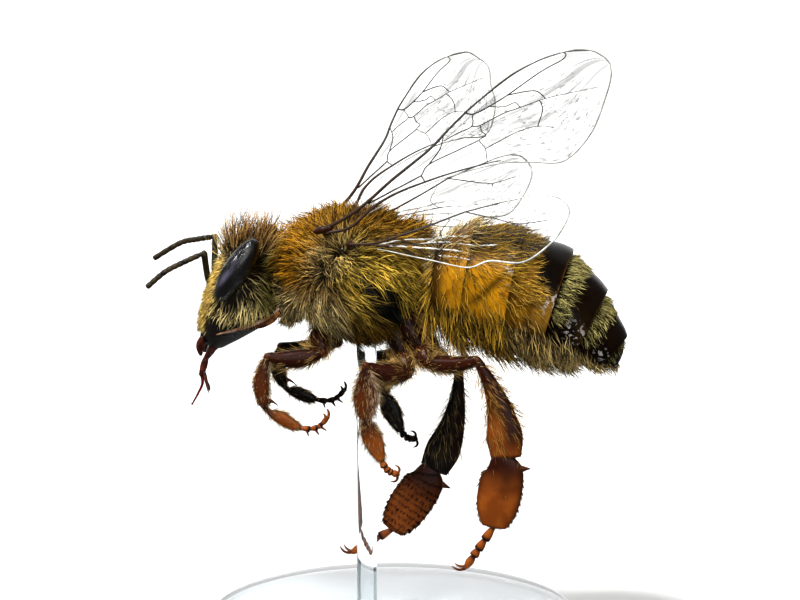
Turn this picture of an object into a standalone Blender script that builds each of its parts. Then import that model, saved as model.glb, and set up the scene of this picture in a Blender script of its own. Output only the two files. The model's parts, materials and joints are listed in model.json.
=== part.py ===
"""A worker honey bee at life size, held in the air by a clear display stand.

The bee's own numbers are millimetres in the bee's frame: the head is towards -X, its left side
towards -Y, and z = 0 is the level of the middle of the thorax. An empty carries that frame above
the stand. The solids of the head, thorax and abdomen reach out to the tips of the coat.
"""

import math

import bmesh
import bpy
from mathutils import Matrix, Vector

MM = 0.001
BEE_HEIGHT = 11.0  # the middle of the thorax above the underside of the stand
GAP = 0.06  # between neighbouring solids: a scaled-down version of a thin saw cut
LIMB = 0.5  # least thickness of a leg, feeler or wing

# The stand
BASE_RADIUS = 5.5
BASE_THICK = 1.0
BASE_EDGE = 0.15
ROD_RADIUS = 0.3
ROD_X = -0.8
ROD_TOP = -2.02

# The thorax: a rounded block with a different reach on each side of its middle
THORAX_X = -1.2
THORAX_FRONT = 2.12
THORAX_BACK = 2.17
THORAX_TOP = 2.24
THORAX_BOTTOM = 1.94
THORAX_SIDE = 2.1
THORAX_ROUNDNESS = 2.5  # 2 is an ellipsoid, more is boxier
CHEST_RISE = 0.36  # the share by which the underside rises towards the neck
CHEST_RISE_ENDS = (0.35, -1.0)  # where the rise starts and is complete, from the thorax's middle

# The head, by levels from the crown down: height, face, nape, half of the width
HEAD_LEVELS = [
    (1.76, -4.30, -3.95, 0.25),
    (1.60, -4.68, -3.62, 0.85),
    (1.20, -4.98, -3.49, 1.40),
    (0.75, -5.18, -3.46, 1.74),
    (0.20, -5.44, -3.45, 1.90),
    (-0.40, -5.68, -3.45, 1.86),
    (-1.05, -5.86, -3.48, 1.55),
    (-1.50, -5.90, -3.95, 1.20),
    (-1.85, -5.82, -4.55, 0.86),
    (-2.08, -5.62, -4.98, 0.52),
    (-2.17, -5.46, -5.16, 0.25),
]
HEAD_ROUNDNESS = 2.15

# The compound eyes: long ovals on the sides of the head, leaning with the face
EYE_AT = (-4.35, 1.60, 0.55)
EYE_HALF = (0.46, 0.44, 1.17)
EYE_LEAN = math.radians(32)

# The feelers: the foot of the shaft, the elbow, then the bend and the tip of the whip
FEELERS = {
    "left": ((-5.50, -0.32, -0.12), (-5.50, -0.75, 0.86), (-6.60, -1.10, 0.33), (-7.15, -1.20, -0.14)),
    "right": ((-5.46, 0.32, -0.05), (-5.48, 0.80, 1.12), (-6.63, 1.10, 0.85), (-7.52, 1.30, 0.31)),
}

# The mouth: jaws in front, then the folded base, the sheath and the tongue that hang from it
JAW_TOP = (-5.76, 0.30, -2.06)
JAW_TIP = (-5.74, 0.20, -2.40)
JAW_SIZES = (0.26, 0.28, 0.26, 0.16)
MOUTH_BASE = ((-5.46, 0.0, -2.24), (-5.56, 0.0, -2.52))
SHEATH = ((-5.60, 0.0, -2.50), (-5.80, 0.0, -2.98))
TONGUE = ((-5.80, 0.0, -2.98), (-6.08, 0.0, -3.86))

# The abdomen, by the rear edge of each plate: its top point, its underside, half of its width
ABDOMEN_EDGES = [
    (1.42, 1.70, 1.24, -1.60, 1.72),
    (2.50, 1.86, 2.05, -1.82, 2.00),
    (3.90, 1.63, 3.25, -2.15, 2.10),
    (5.30, 1.07, 4.25, -2.43, 2.00),
    (6.32, -0.11, 5.05, -2.46, 1.62),
    (6.90, -1.44, 5.87, -2.44, 1.05),
    (6.72, -2.10, 6.50, -2.42, 0.40),
]
PLATE_TUCK = 0.95  # the front of a plate, as a share of the edge that it slips under
WAIST_X = 1.06
WAIST_Z = -0.66
WAIST_RADIUS = 0.34
WAIST_LENGTH = 0.60

# The legs' joints: body, trochanter, knee, ankle, end of the long foot joint, claws
LEG_JOINTS = {
    "fore_left": [
        (-2.15, -0.70, -1.42), (-1.95, -1.05, -1.94), (-3.50, -1.45, -2.05),
        (-3.60, -1.55, -3.45), (-2.60, -1.40, -4.15), (-1.70, -1.25, -3.75),
    ],
    "fore_right": [
        (-2.10, 0.70, -1.46), (-1.85, 1.00, -2.02), (-3.65, 1.50, -2.30),
        (-3.60, 1.50, -3.45), (-2.60, 1.40, -3.90), (-1.60, 1.30, -3.45),
    ],
    "mid_left": [
        (0.40, -1.00, -1.98), (0.60, -1.45, -2.42), (-0.50, -2.10, -2.10),
        (-0.55, -2.00, -3.70), (-0.10, -1.80, -4.95), (0.45, -1.70, -5.40),
    ],
    "mid_right": [
        (0.20, 1.00, -2.02), (0.05, 1.40, -2.45), (-0.85, 1.95, -2.55),
        (-0.60, 2.00, -3.75), (-0.05, 1.90, -4.90), (0.50, 1.80, -5.10),
    ],
    "hind_left": [
        (0.92, -1.00, -1.78), (1.20, -1.40, -2.10), (2.75, -2.20, -1.85),
        (3.60, -2.40, -4.60), (3.25, -2.25, -6.70), (2.35, -2.10, -8.10),
    ],
    "hind_right": [
        (0.82, 0.95, -1.85), (1.00, 1.30, -2.25), (1.72, 2.00, -2.95),
        (0.95, 2.05, -6.10), (-0.30, 1.90, -8.00), (-1.65, 1.75, -8.80),
    ],
}
LEG_PIECES = ("hip", "femur", "tibia", "basitarsus", "foot")
# For each piece: its widths from end to end, its thickness, and how far its middle bows out
LEG_SHAPES = {
    "fore": [
        ((0.56, 0.62, 0.60, 0.52), 0.56, 0.0),
        ((0.50, 0.62, 0.58, 0.50), LIMB, 0.14),
        ((0.50, 0.50, 0.56, 0.50), LIMB, -0.12),
        ((0.50, 0.50, 0.50, 0.50), LIMB, -0.05),
        ((0.50, 0.50, 0.50, 0.50), LIMB, -0.22),
    ],
    "mid": [
        ((0.56, 0.64, 0.62, 0.54), 0.58, 0.0),
        ((0.52, 0.66, 0.58, 0.50), 0.54, 0.10),
        ((0.50, 0.58, 0.72, 0.52), LIMB, 0.0),
        ((0.50, 0.55, 0.60, 0.50), LIMB, 0.0),
        ((0.50, 0.50, 0.50, 0.50), LIMB, -0.12),
    ],
    "hind": [
        ((0.56, 0.62, 0.62, 0.54), 0.58, 0.0),
        ((0.50, 0.56, 0.52, 0.50), 0.54, -0.08),
        ((0.50, 0.66, 1.00, 0.98), 0.54, 0.22),
        ((0.84, 1.14, 1.24, 0.66), 0.54, 0.0),
        ((0.50, 0.50, 0.50, 0.50), LIMB, 0.0),
    ],
}

# The wings, as flat outlines: distance from the root towards the tip, and across the wing
FOREWING_OUTLINE = [
    (0.05, -0.14), (1.40, -0.12), (3.70, -0.46), (5.30, -0.86), (7.10, -1.12), (8.60, -0.88),
    (9.35, -0.50), (9.58, 0.02), (9.05, 0.72), (8.20, 1.40), (7.10, 1.72), (6.20, 1.26),
    (5.20, 0.80), (3.20, 0.34), (1.40, 0.22), (0.05, 0.14),
]
HINDWING_OUTLINE = [
    (0.05, -0.12), (1.60, -0.14), (3.60, -0.38), (5.60, -0.50), (6.45, -0.34), (6.66, 0.10),
    (6.00, 0.86), (5.10, 1.28), (4.10, 1.10), (3.40, 1.18), (2.20, 0.76), (0.80, 0.26), (0.05, 0.14),
]
# For each wing: its root, the way to its tip, and the way across it to the rear edge
WINGS = {
    "forewing_left": ((-1.70, -1.92, 1.80), (8.24, -0.90, 5.03), (0.55, -0.10, -0.83)),
    "forewing_right": ((-2.05, 1.94, 1.74), (3.58, 7.96, 3.96), (0.74, -0.01, -0.67)),
    "hindwing_left": ((-0.96, -2.10, 1.42), (6.60, -1.40, 1.42), (0.20, -0.16, -0.97)),
    "hindwing_right": ((-1.35, 2.12, 1.50), (4.77, 4.50, 1.25), (0.40, -0.20, -0.90)),
}
TEGULA_AT = (-2.38, 1.54, 1.56)
TEGULA_HALF = (0.30, 0.20, 0.24)

# Colours (linear), roughness
FINISHES = {
    "head": ((0.16, 0.12, 0.04), 0.8),
    "eye": ((0.012, 0.010, 0.012), 0.2),
    "feeler": ((0.03, 0.018, 0.01), 0.4),
    "mouth": ((0.10, 0.02, 0.01), 0.3),
    "thorax": ((0.30, 0.20, 0.05), 0.9),
    "plate": ((0.16, 0.08, 0.015), 0.5),
    "leg": ((0.16, 0.045, 0.015), 0.35),
    "wing": ((0.70, 0.70, 0.66), 0.2),
    "stand": ((0.80, 0.84, 0.86), 0.08),
}


def material(name, finish):
    made = bpy.data.materials.new(name)
    made.use_nodes = True
    shader = made.node_tree.nodes["Principled BSDF"]
    colour, roughness = FINISHES[finish]
    shader.inputs["Base Color"].default_value = (*colour, 1.0)
    shader.inputs["Roughness"].default_value = roughness
    shader.inputs["Metallic"].default_value = 0.0
    made.diffuse_color = (*colour, 1.0)
    return made


def collection(name):
    made = bpy.data.collections.new(name)
    bpy.context.scene.collection.children.link(made)
    return made


def add(name, data, finish, parent):
    """An object in the bee's collection, with a material of its own."""
    made = bpy.data.objects.new(name, data)
    data.materials.append(material(name, finish))
    bpy.data.collections["honey_bee"].objects.link(made)
    made.parent = parent
    return made


def mesh_from(bm, name):
    """The bmesh as a smooth mesh in metres, with its faces pointing out."""
    bmesh.ops.recalc_face_normals(bm, faces=bm.faces)
    bmesh.ops.scale(bm, vec=(MM, MM, MM), verts=bm.verts)
    data = bpy.data.meshes.new(name)
    bm.to_mesh(data)
    bm.free()
    data.shade_smooth()
    data.set_sharp_from_angle(angle=math.radians(50))
    return data


def smooth_rows(rows, steps):
    """More rows between the given ones, on a curve that passes through each of them."""
    ends = [Vector(rows[0])] + [Vector(row) for row in rows] + [Vector(rows[-1])]
    found = []
    for a, b, c, d in zip(ends, ends[1:], ends[2:], ends[3:]):
        for step in range(steps):
            t = step / steps
            bend = (2 * a - 5 * b + 4 * c - d) * t * t + (3 * b - a - 3 * c + d) * t**3
            found.append(b + 0.5 * ((c - a) * t + bend))
    return found + [Vector(rows[-1])]


def oval(centre, across, up, roundness=2.0, sides=8):
    """A ring of points round a centre; across and up are the half-axes."""
    ring = []
    for side in range(sides):
        angle = 2 * math.pi * (side + 0.5) / sides
        c, s = math.cos(angle), math.sin(angle)
        reach = (abs(c) ** roundness + abs(s) ** roundness) ** (-1 / roundness)
        ring.append(centre + across * (c * reach) + up * (s * reach))
    return ring


def loft(rings):
    """One closed skin over rings of as many points each."""
    bm = bmesh.new()
    rows = [[bm.verts.new(point) for point in ring] for ring in rings]
    for first, second in zip(rows, rows[1:]):
        for side in range(len(first)):
            after = (side + 1) % len(first)
            bm.faces.new((first[side], first[after], second[after], second[side]))
    bm.faces.new(rows[0][::-1])
    bm.faces.new(rows[-1])
    return bm


def ball(half, segments=16, levels=10):
    bm = bmesh.new()
    bmesh.ops.create_uvsphere(bm, u_segments=segments, v_segments=levels, radius=1)
    bmesh.ops.scale(bm, vec=half, verts=bm.verts)
    return bm


def limb(start, end, widths, thickness, bow, start_plane=None, end_plane=None):
    """A tapering length between two joints, flattened from side to side.

    Its ends lie in the given planes, so that two lengths meet in a mitre with a gap between them.
    """
    start, end = Vector(start), Vector(end)
    chord = end - start
    along = chord.normalized()
    across = along.cross(Vector((0, 1, 0))).normalized()
    flat = across.cross(along).normalized()
    planes = [
        (start, Vector(start_plane or along).normalized(), 1),
        (end, Vector(end_plane or along).normalized(), -1),
    ]
    rings = []
    profile = smooth_rows([(width, 0, 0) for width in widths], 2)
    for step, row in enumerate(profile):
        share = step / (len(profile) - 1)
        centre = start + chord * share + across * (bow * math.sin(math.pi * share))
        ring = oval(centre, across * (row.x / 2), flat * (thickness / 2))
        for place, normal, inward in planes:
            reach = max(widths)
            fade = max(0.0, 1 - (centre - place).length / reach)
            for index, point in enumerate(ring):
                to_plane = (place + normal * (inward * GAP / 2) - point).dot(normal)
                ring_plane = (place - centre).dot(along)
                ring[index] = point + along * (fade * (to_plane / along.dot(normal) - ring_plane))
        rings.append(ring)
    return loft(rings)


def build_stand(parent):
    bm = bmesh.new()
    bmesh.ops.create_cone(
        bm, cap_ends=True, segments=72, radius1=BASE_RADIUS, radius2=BASE_RADIUS, depth=BASE_THICK
    )
    base = add("stand_base", mesh_from(bm, "stand_base"), "stand", None)
    base.location.z = BASE_THICK / 2 * MM
    edge = base.modifiers.new("edge", "BEVEL")
    edge.width = BASE_EDGE * MM
    edge.segments = 2
    edge.limit_method = "ANGLE"
    foot = BASE_THICK + GAP - BEE_HEIGHT
    bm = bmesh.new()
    bmesh.ops.create_cone(
        bm, cap_ends=True, segments=16, radius1=ROD_RADIUS, radius2=ROD_RADIUS, depth=ROD_TOP - foot
    )
    rod = add("stand_rod", mesh_from(bm, "stand_rod"), "stand", parent)
    rod.location = Vector((ROD_X, 0, (ROD_TOP + foot) / 2)) * MM


def build_thorax(parent):
    bm = ball((1, 1, 1), segments=24, levels=16)
    for vert in bm.verts:
        power = THORAX_ROUNDNESS
        reach = sum(abs(value) ** power for value in vert.co) ** (-1 / power)
        x, y, z = vert.co * reach
        x *= THORAX_FRONT if x < 0 else THORAX_BACK
        y *= THORAX_SIDE
        if z < 0:
            start, whole = CHEST_RISE_ENDS
            share = min(1.0, max(0.0, (x - start) / (whole - start)))
            z *= THORAX_BOTTOM * (1 - CHEST_RISE * share * share * (3 - 2 * share))
        else:
            z *= THORAX_TOP
        vert.co = (x + THORAX_X, y, z)
    return add("thorax", mesh_from(bm, "thorax"), "thorax", parent)


def build_head(parent):
    rings = []
    for z, face, nape, half in smooth_rows(HEAD_LEVELS, 2):
        centre = Vector(((face + nape) / 2, 0, z))
        depth = Vector(((nape - face) / 2, 0, 0))
        rings.append(oval(centre, Vector((0, half, 0)), depth, HEAD_ROUNDNESS, 20))
    return add("head", mesh_from(loft(rings), "head"), "head", parent)


def clear(target, neighbour):
    """Cuts room for the neighbour out of the target, with the gap all round it."""
    bm = bmesh.new()
    bm.from_mesh(neighbour.data)
    bm.normal_update()
    for vert in bm.verts:
        vert.co += vert.normal * (GAP * 1.2 * MM)
    data = bpy.data.meshes.new("room_for_" + neighbour.name)
    bm.to_mesh(data)
    bm.free()
    cutter = bpy.data.objects.new(data.name, data)
    bpy.data.collections["cutters"].objects.link(cutter)
    cutter.parent = neighbour.parent
    cutter.location = neighbour.location
    cutter.rotation_euler = neighbour.rotation_euler
    cutter.hide_render = True
    cutter.display_type = "WIRE"
    cut = target.modifiers.new(data.name, "BOOLEAN")
    cut.operation = "DIFFERENCE"
    cut.object = cutter


def build_eye(side, sign, parent):
    eye = add("eye_" + side, mesh_from(ball(EYE_HALF), "eye_" + side), "eye", parent)
    x, y, z = EYE_AT
    eye.location = Vector((x, sign * y, z)) * MM
    eye.rotation_euler.y = EYE_LEAN
    return eye


def build_feeler(side, parent):
    foot, elbow, bend, tip = (Vector(point) for point in FEELERS[side])
    even = (LIMB, LIMB, LIMB, LIMB)
    shaft = mesh_from(limb(foot, elbow, even, LIMB, 0), "antenna_%s_scape" % side)
    scape = add(shaft.name, shaft, "feeler", parent)
    start = elbow + (bend - elbow).normalized() * (LIMB / 2 + 2 * GAP)
    rings = []
    line = smooth_rows([start, (start + bend) / 2, bend, tip], 2)
    for place, after in zip(line, line[1:] + [2 * line[-1] - line[-2]]):
        along = (after - place).normalized()
        across = along.cross(Vector((0, 1, 0))).normalized()
        rings.append(oval(place, across * (LIMB / 2), across.cross(along) * (LIMB / 2)))
    whip = mesh_from(loft(rings), "antenna_%s_flagellum" % side)
    add(whip.name, whip, "feeler", parent)
    return scape


def build_mouth(parent):
    for side, sign in (("left", -1), ("right", 1)):
        top = Vector((JAW_TOP[0], sign * JAW_TOP[1], JAW_TOP[2]))
        tip = Vector((JAW_TIP[0], sign * JAW_TIP[1], JAW_TIP[2]))
        jaw = mesh_from(limb(top, tip, JAW_SIZES, JAW_SIZES[0], 0), "mandible_" + side)
        add(jaw.name, jaw, "mouth", parent)
    down = (0, 0, -1)
    lean = Vector(SHEATH[1]) - Vector(SHEATH[0])
    base = limb(*MOUTH_BASE, (0.24, 0.30, 0.30, 0.24), 0.5, 0, down, lean)
    add("mouth_base", mesh_from(base, "mouth_base"), "mouth", parent)
    sheath = limb(*SHEATH, (0.30, 0.34, 0.36, 0.34), LIMB, 0, lean, lean)
    add("tongue_sheath", mesh_from(sheath, "tongue_sheath"), "mouth", parent)
    tongue = limb(*TONGUE, (0.34, 0.34, 0.32, 0.28), 0.4, 0.05, lean, None)
    add("tongue", mesh_from(tongue, "tongue"), "mouth", parent)


def abdomen_ring(row, scale, shift):
    """The outline at one place along the abdomen, moved along it by shift."""
    top = Vector((row[0], 0, row[1]))
    under = Vector((row[2], 0, row[3]))
    up = (top - under) / 2
    along = Vector((0, 1, 0)).cross(up).normalized()
    centre = (top + under) / 2 + along * shift
    return oval(centre, Vector((0, row[4] * scale, 0)), up * scale, 2.1, 20)


def build_abdomen(parent, thorax):
    rows = [(row[0], row[1], row[2]) for row in ABDOMEN_EDGES]
    rest = [(row[3], row[4], 0) for row in ABDOMEN_EDGES]
    steps = 3
    merged = [(*a, *b) for a, b in zip(smooth_rows(rows, steps), smooth_rows(rest, steps))]
    for plate in range(len(ABDOMEN_EDGES) - 1):
        first = plate * steps
        rings = [abdomen_ring(merged[first], PLATE_TUCK, GAP)]
        if plate == 0:
            rings = [
                abdomen_ring(merged[0], 0.40, -0.20),
                abdomen_ring(merged[0], 0.78, -0.13),
                abdomen_ring(merged[0], PLATE_TUCK, 0),
            ]
        rings += [abdomen_ring(merged[first + step], 1.0, 0) for step in range(1, steps)]
        rings.append(abdomen_ring(merged[first + steps], 1.0, -GAP / 2))
        name = "abdomen_%d" % (plate + 1)
        made = add(name, mesh_from(loft(rings), name), "plate", parent)
        front = made if plate == 0 else front
    bm = bmesh.new()
    bmesh.ops.create_cone(
        bm, cap_ends=True, segments=16, radius1=WAIST_RADIUS, radius2=WAIST_RADIUS, depth=WAIST_LENGTH
    )
    waist = add("waist", mesh_from(bm, "waist"), "plate", parent)
    waist.location = Vector((WAIST_X, 0, WAIST_Z)) * MM
    waist.rotation_euler.y = math.pi / 2
    clear(thorax, waist)
    clear(front, waist)


def build_leg(leg, parent):
    joints = [Vector(point) for point in LEG_JOINTS[leg]]
    ways = [(b - a).normalized() for a, b in zip(joints, joints[1:])]
    planes = [ways[0]] + [(a + b).normalized() for a, b in zip(ways, ways[1:])] + [ways[-1]]
    shapes = LEG_SHAPES[leg.split("_")[0]]
    for index, (piece, (widths, thickness, bow)) in enumerate(zip(LEG_PIECES, shapes)):
        start, end = joints[index], joints[index + 1]
        bm = limb(start, end, widths, thickness, bow, planes[index], planes[index + 1])
        name = "leg_%s_%s" % (leg, piece)
        add(name, mesh_from(bm, name), "leg", parent)


def build_wing(name, outline, parent):
    root, along, across = (Vector(value) for value in WINGS[name])
    along.normalize()
    across = (across - along * across.dot(along)).normalized()
    facing = along.cross(across)
    curve = bpy.data.curves.new("wing_" + name, "CURVE")
    curve.dimensions = "2D"
    curve.fill_mode = "BOTH"
    curve.extrude = LIMB / 2 * MM
    curve.resolution_u = 2
    spline = curve.splines.new("BEZIER")
    spline.bezier_points.add(len(outline) - 1)
    for point, (x, y) in zip(spline.bezier_points, outline):
        point.co = (x * MM, y * MM, 0)
        point.handle_left_type = "AUTO"
        point.handle_right_type = "AUTO"
    spline.use_cyclic_u = True
    wing = add(curve.name, curve, "wing", parent)
    turn = Matrix((along, across, facing)).transposed().to_4x4()
    wing.matrix_local = Matrix.Translation(root * MM) @ turn


def build_tegula(side, sign, parent, thorax):
    """The small shell in front of a wing's root, let into the thorax."""
    name = "tegula_" + side
    shell = add(name, mesh_from(ball(TEGULA_HALF, 12, 8), name), "leg", parent)
    x, y, z = TEGULA_AT
    shell.location = Vector((x, sign * y, z)) * MM
    clear(thorax, shell)


def main():
    for old in list(bpy.data.objects):
        bpy.data.objects.remove(old)
    collection("honey_bee")
    collection("cutters")
    bee = bpy.data.objects.new("bee_frame", None)
    bpy.data.collections["honey_bee"].objects.link(bee)
    bee.location.z = BEE_HEIGHT * MM
    build_stand(bee)
    thorax = build_thorax(bee)
    head = build_head(bee)
    for side, sign in (("left", -1), ("right", 1)):
        clear(head, build_eye(side, sign, bee))
        clear(head, build_feeler(side, bee))
        build_tegula(side, sign, bee, thorax)
    build_mouth(bee)
    build_abdomen(bee, thorax)
    for leg in LEG_JOINTS:
        build_leg(leg, bee)
    for name in WINGS:
        build_wing(name, FOREWING_OUTLINE if "fore" in name else HINDWING_OUTLINE, bee)


main()
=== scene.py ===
"""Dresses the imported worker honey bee: shell, eyes, hair, wings, stand, light and camera.

The bee's own numbers are millimetres in the bee's frame, as in the part: the head is towards -X,
its left side towards -Y, and z = 0 is the level of the middle of the thorax. Shapes are worked
out there as arrays, and are lifted above the stand and turned to metres as they become meshes.
"""

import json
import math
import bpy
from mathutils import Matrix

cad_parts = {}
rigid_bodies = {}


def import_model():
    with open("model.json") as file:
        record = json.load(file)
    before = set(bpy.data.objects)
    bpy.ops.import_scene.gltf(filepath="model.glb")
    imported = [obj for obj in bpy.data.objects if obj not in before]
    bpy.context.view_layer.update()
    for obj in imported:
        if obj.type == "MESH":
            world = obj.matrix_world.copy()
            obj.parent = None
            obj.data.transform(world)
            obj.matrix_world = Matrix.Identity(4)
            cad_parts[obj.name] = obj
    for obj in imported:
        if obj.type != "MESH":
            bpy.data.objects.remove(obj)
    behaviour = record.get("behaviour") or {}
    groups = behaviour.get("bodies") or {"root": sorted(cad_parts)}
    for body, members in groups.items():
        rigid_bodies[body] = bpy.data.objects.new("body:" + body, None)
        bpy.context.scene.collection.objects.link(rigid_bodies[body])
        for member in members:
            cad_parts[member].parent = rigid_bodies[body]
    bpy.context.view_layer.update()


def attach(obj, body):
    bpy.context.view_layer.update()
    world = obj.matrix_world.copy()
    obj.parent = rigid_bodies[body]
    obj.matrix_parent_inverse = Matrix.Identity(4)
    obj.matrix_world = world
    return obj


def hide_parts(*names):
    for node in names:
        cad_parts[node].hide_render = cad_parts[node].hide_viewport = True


bl_info = {
    "name": "Honey bee display model",
    "version": (1, 0, 0),
    "blender": (4, 5, 0),
    "location": "View3D > Sidebar > Honey bee",
    "description": "Dresses the packed honey bee with shell plates, hair, eyes, wings and its stand",
    "category": "Object",
}

import bpy
import numpy as np
from mathutils import Matrix, Vector, kdtree

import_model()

MM = 0.001
BEE_HEIGHT = 11.0  # the middle of the thorax above the underside of the stand
SIDES = (("left", -1), ("right", 1))
UP = np.array((0.0, 0.0, 1.0))
ASIDE = np.array((0.0, 1.0, 0.0))

# The shell of the thorax: a rounded block with a different reach on each side of its middle
THORAX_MIDDLE = (-1.2, 0.0, 0.0)
THORAX_REACH = {"front": 1.84, "back": 1.86, "side": 1.7, "top": 1.8, "bottom": 1.64}
CHEST_RISE = 0.36
CHEST_RISE_ENDS = (0.35, -1.0)
SCUTELLUM = ((0.28, 0.0, 1.1), (0.46, 0.86, 0.4))
WAIST = ((1.06, 0.0, -0.66), (0.62, 0.34, 0.34))
NECK = ((-3.3, 0.0, -0.35), (0.75, 0.8, 0.8))

# The head's shell, by levels from the crown down: height, face, nape, half of the width
HEAD_SHELL = [
    (1.38, -4.34, -3.94, 0.2),
    (1.27, -4.6, -3.74, 0.78),
    (1.0, -4.86, -3.62, 1.18),
    (0.66, -5.04, -3.6, 1.42),
    (0.15, -5.27, -3.58, 1.54),
    (-0.4, -5.49, -3.52, 1.54),
    (-1.0, -5.66, -3.4, 1.34),
    (-1.4, -5.72, -3.9, 1.08),
    (-1.76, -5.68, -4.5, 0.76),
    (-2.0, -5.56, -4.95, 0.46),
    (-2.1, -5.42, -5.12, 0.22),
]
LABRUM = ((-5.6, 0.0, -1.66), (0.17, 0.44, 0.3))
EYE_AT = (-4.38, 1.46, 0.48)
EYE_HALF = (0.4, 0.5, 1.09)
EYE_LEAN = math.radians(32)
OCELLI = ((-4.8, 0.0, 1.07), (-4.56, -0.3, 1.26), (-4.56, 0.3, 1.26))
# The hair on each side of the thorax grows away from this short parting, given for the right side
HAIR_PARTING = ((-1.78, 1.6, 0.65), (-1.32, 1.46, 1.09))
# The lower rear edge of each cheek, along the head and its height, the rim below it, and the bare
# patch over the jaws
CHEEK_LINE = ((-5.1, -1.52), (-4.58, -1.36), (-4.12, -1.21), (-3.76, -1.07), (-3.51, -0.945), (-3.26, -0.72))
CHEEK_RIM = ((-4.1, -1.33), (-3.94, -1.26), (-3.72, -1.19), (-3.45, -1.05), (-3.27, -0.84))
BARE_PATCH = ((-5.19, -1.26), (0.3, 0.55))

FEELERS = {
    "left": ((-5.42, -0.34, -0.14), (-5.5, -0.75, 0.86), (-6.6, -1.1, 0.33), (-7.15, -1.2, -0.14)),
    "right": ((-5.4, 0.34, -0.06), (-5.48, 0.8, 1.12), (-6.63, 1.1, 0.85), (-7.52, 1.3, 0.31)),
}
FEELER_JOINTS = 10

# The abdomen, by the rear edge of each plate: its top point, its underside, half of its width
ABDOMEN_EDGES = [
    (1.42, 1.7, 1.24, -1.6, 1.72),
    (2.5, 1.86, 2.05, -1.82, 2.0),
    (3.9, 1.63, 3.25, -2.15, 2.1),
    (5.3, 1.07, 4.25, -2.43, 2.0),
    (6.32, -0.11, 5.05, -2.46, 1.62),
    (6.9, -1.44, 5.87, -2.44, 1.05),
    (6.72, -2.1, 6.5, -2.42, 0.4),
]
PLATE_SPLIT = math.radians(118)  # where the upper plates lap over the lower ones, from the top

# The legs' joints: body, trochanter, knee, ankle, end of the long foot joint, claws
LEG_JOINTS = {
    "fore_left": [
        (-2.15, -0.7, -1.42), (-1.95, -1.05, -1.94), (-3.5, -1.45, -2.05),
        (-3.6, -1.55, -3.45), (-2.6, -1.4, -4.15), (-1.7, -1.25, -3.75),
    ],
    "fore_right": [
        (-2.1, 0.7, -1.46), (-1.85, 1.0, -2.02), (-3.65, 1.5, -2.3),
        (-3.6, 1.5, -3.45), (-2.6, 1.4, -3.9), (-1.6, 1.3, -3.45),
    ],
    "mid_left": [
        (0.4, -1.0, -1.98), (0.6, -1.45, -2.42), (-0.5, -2.1, -2.1),
        (-0.55, -2.0, -3.7), (-0.1, -1.8, -4.95), (0.45, -1.7, -5.4),
    ],
    "mid_right": [
        (0.2, 1.0, -2.02), (0.05, 1.4, -2.45), (-0.85, 1.95, -2.55),
        (-0.6, 2.0, -3.75), (-0.05, 1.9, -4.9), (0.5, 1.8, -5.1),
    ],
    "hind_left": [
        (0.92, -1.0, -1.78), (1.2, -1.4, -2.1), (2.75, -2.2, -1.85),
        (3.6, -2.4, -4.6), (3.25, -2.25, -6.7), (2.35, -2.1, -8.1),
    ],
    "hind_right": [
        (0.82, 0.95, -1.85), (1.0, 1.3, -2.25), (1.72, 2.0, -2.95),
        (0.95, 2.05, -6.1), (-0.3, 1.9, -8.0), (-1.65, 1.75, -8.8),
    ],
}
# For each length of a leg: its half-widths from end to end, its half-thicknesses, how far it bows
LEG_FORMS = {
    "fore": {
        "hip": ((0.2, 0.28, 0.26, 0.2), (0.22, 0.27, 0.25, 0.2), 0.0),
        "femur": ((0.15, 0.25, 0.27, 0.21, 0.12), (0.15, 0.21, 0.21, 0.17, 0.11), 0.14),
        "tibia": ((0.08, 0.17, 0.23, 0.22, 0.15), (0.09, 0.15, 0.17, 0.15, 0.11), -0.12),
        "basitarsus": (
            (0.13, 0.07, 0.15, 0.19, 0.19, 0.17, 0.11), (0.1, 0.08, 0.11, 0.12, 0.12, 0.1, 0.08), -0.05
        ),
    },
    "mid": {
        "hip": ((0.22, 0.3, 0.29, 0.22), (0.22, 0.28, 0.27, 0.21), 0.0),
        "femur": ((0.2, 0.29, 0.27, 0.2, 0.11), (0.18, 0.24, 0.22, 0.17, 0.11), 0.1),
        "tibia": ((0.09, 0.2, 0.3, 0.33, 0.29, 0.14), (0.1, 0.15, 0.17, 0.17, 0.15, 0.1), 0.0),
        "basitarsus": ((0.09, 0.23, 0.29, 0.27, 0.21, 0.12), (0.09, 0.12, 0.13, 0.12, 0.1, 0.08), 0.0),
    },
    "hind": {
        "hip": ((0.22, 0.29, 0.29, 0.23), (0.22, 0.27, 0.27, 0.22), 0.0),
        "femur": ((0.18, 0.25, 0.24, 0.2, 0.15), (0.17, 0.22, 0.21, 0.18, 0.13), -0.08),
        "tibia": ((0.12, 0.2, 0.3, 0.42, 0.53, 0.44), (0.11, 0.15, 0.17, 0.17, 0.16, 0.11), 0.22),
        "basitarsus": (
            (0.22, 0.55, 0.62, 0.64, 0.62, 0.54, 0.36), (0.1, 0.14, 0.16, 0.16, 0.15, 0.13, 0.09), 0.0
        ),
    },
}
# Where the middle of a length lies to one side: the feeler notch, and the hind leg's ankle
LEG_SHIFTS = {
    ("fore", "basitarsus"): (0.0, -0.07, -0.04, 0.0, 0.0, 0.0, 0.0),
    ("hind", "basitarsus"): (-0.22, -0.03, 0.0, 0.0, 0.0, 0.0, 0.0),
}
# How much lighter than the rest of the leg a length grows towards its end
LEG_GLOW = {
    ("fore", "tibia"): 0.15,
    ("mid", "tibia"): 0.25,
    ("fore", "basitarsus"): 0.8,
    ("mid", "basitarsus"): 1.0,
    ("hind", "basitarsus"): 0.8,
}
FOOT_BOW = {"fore": -0.22, "mid": -0.12, "hind": 0.0}
FOOT_JOINTS = (0.0, 0.3, 0.54, 0.7, 1.0)  # the small foot joints, as shares of the foot
COMB_ROWS = 11
COMB_TEETH = 72

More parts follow.
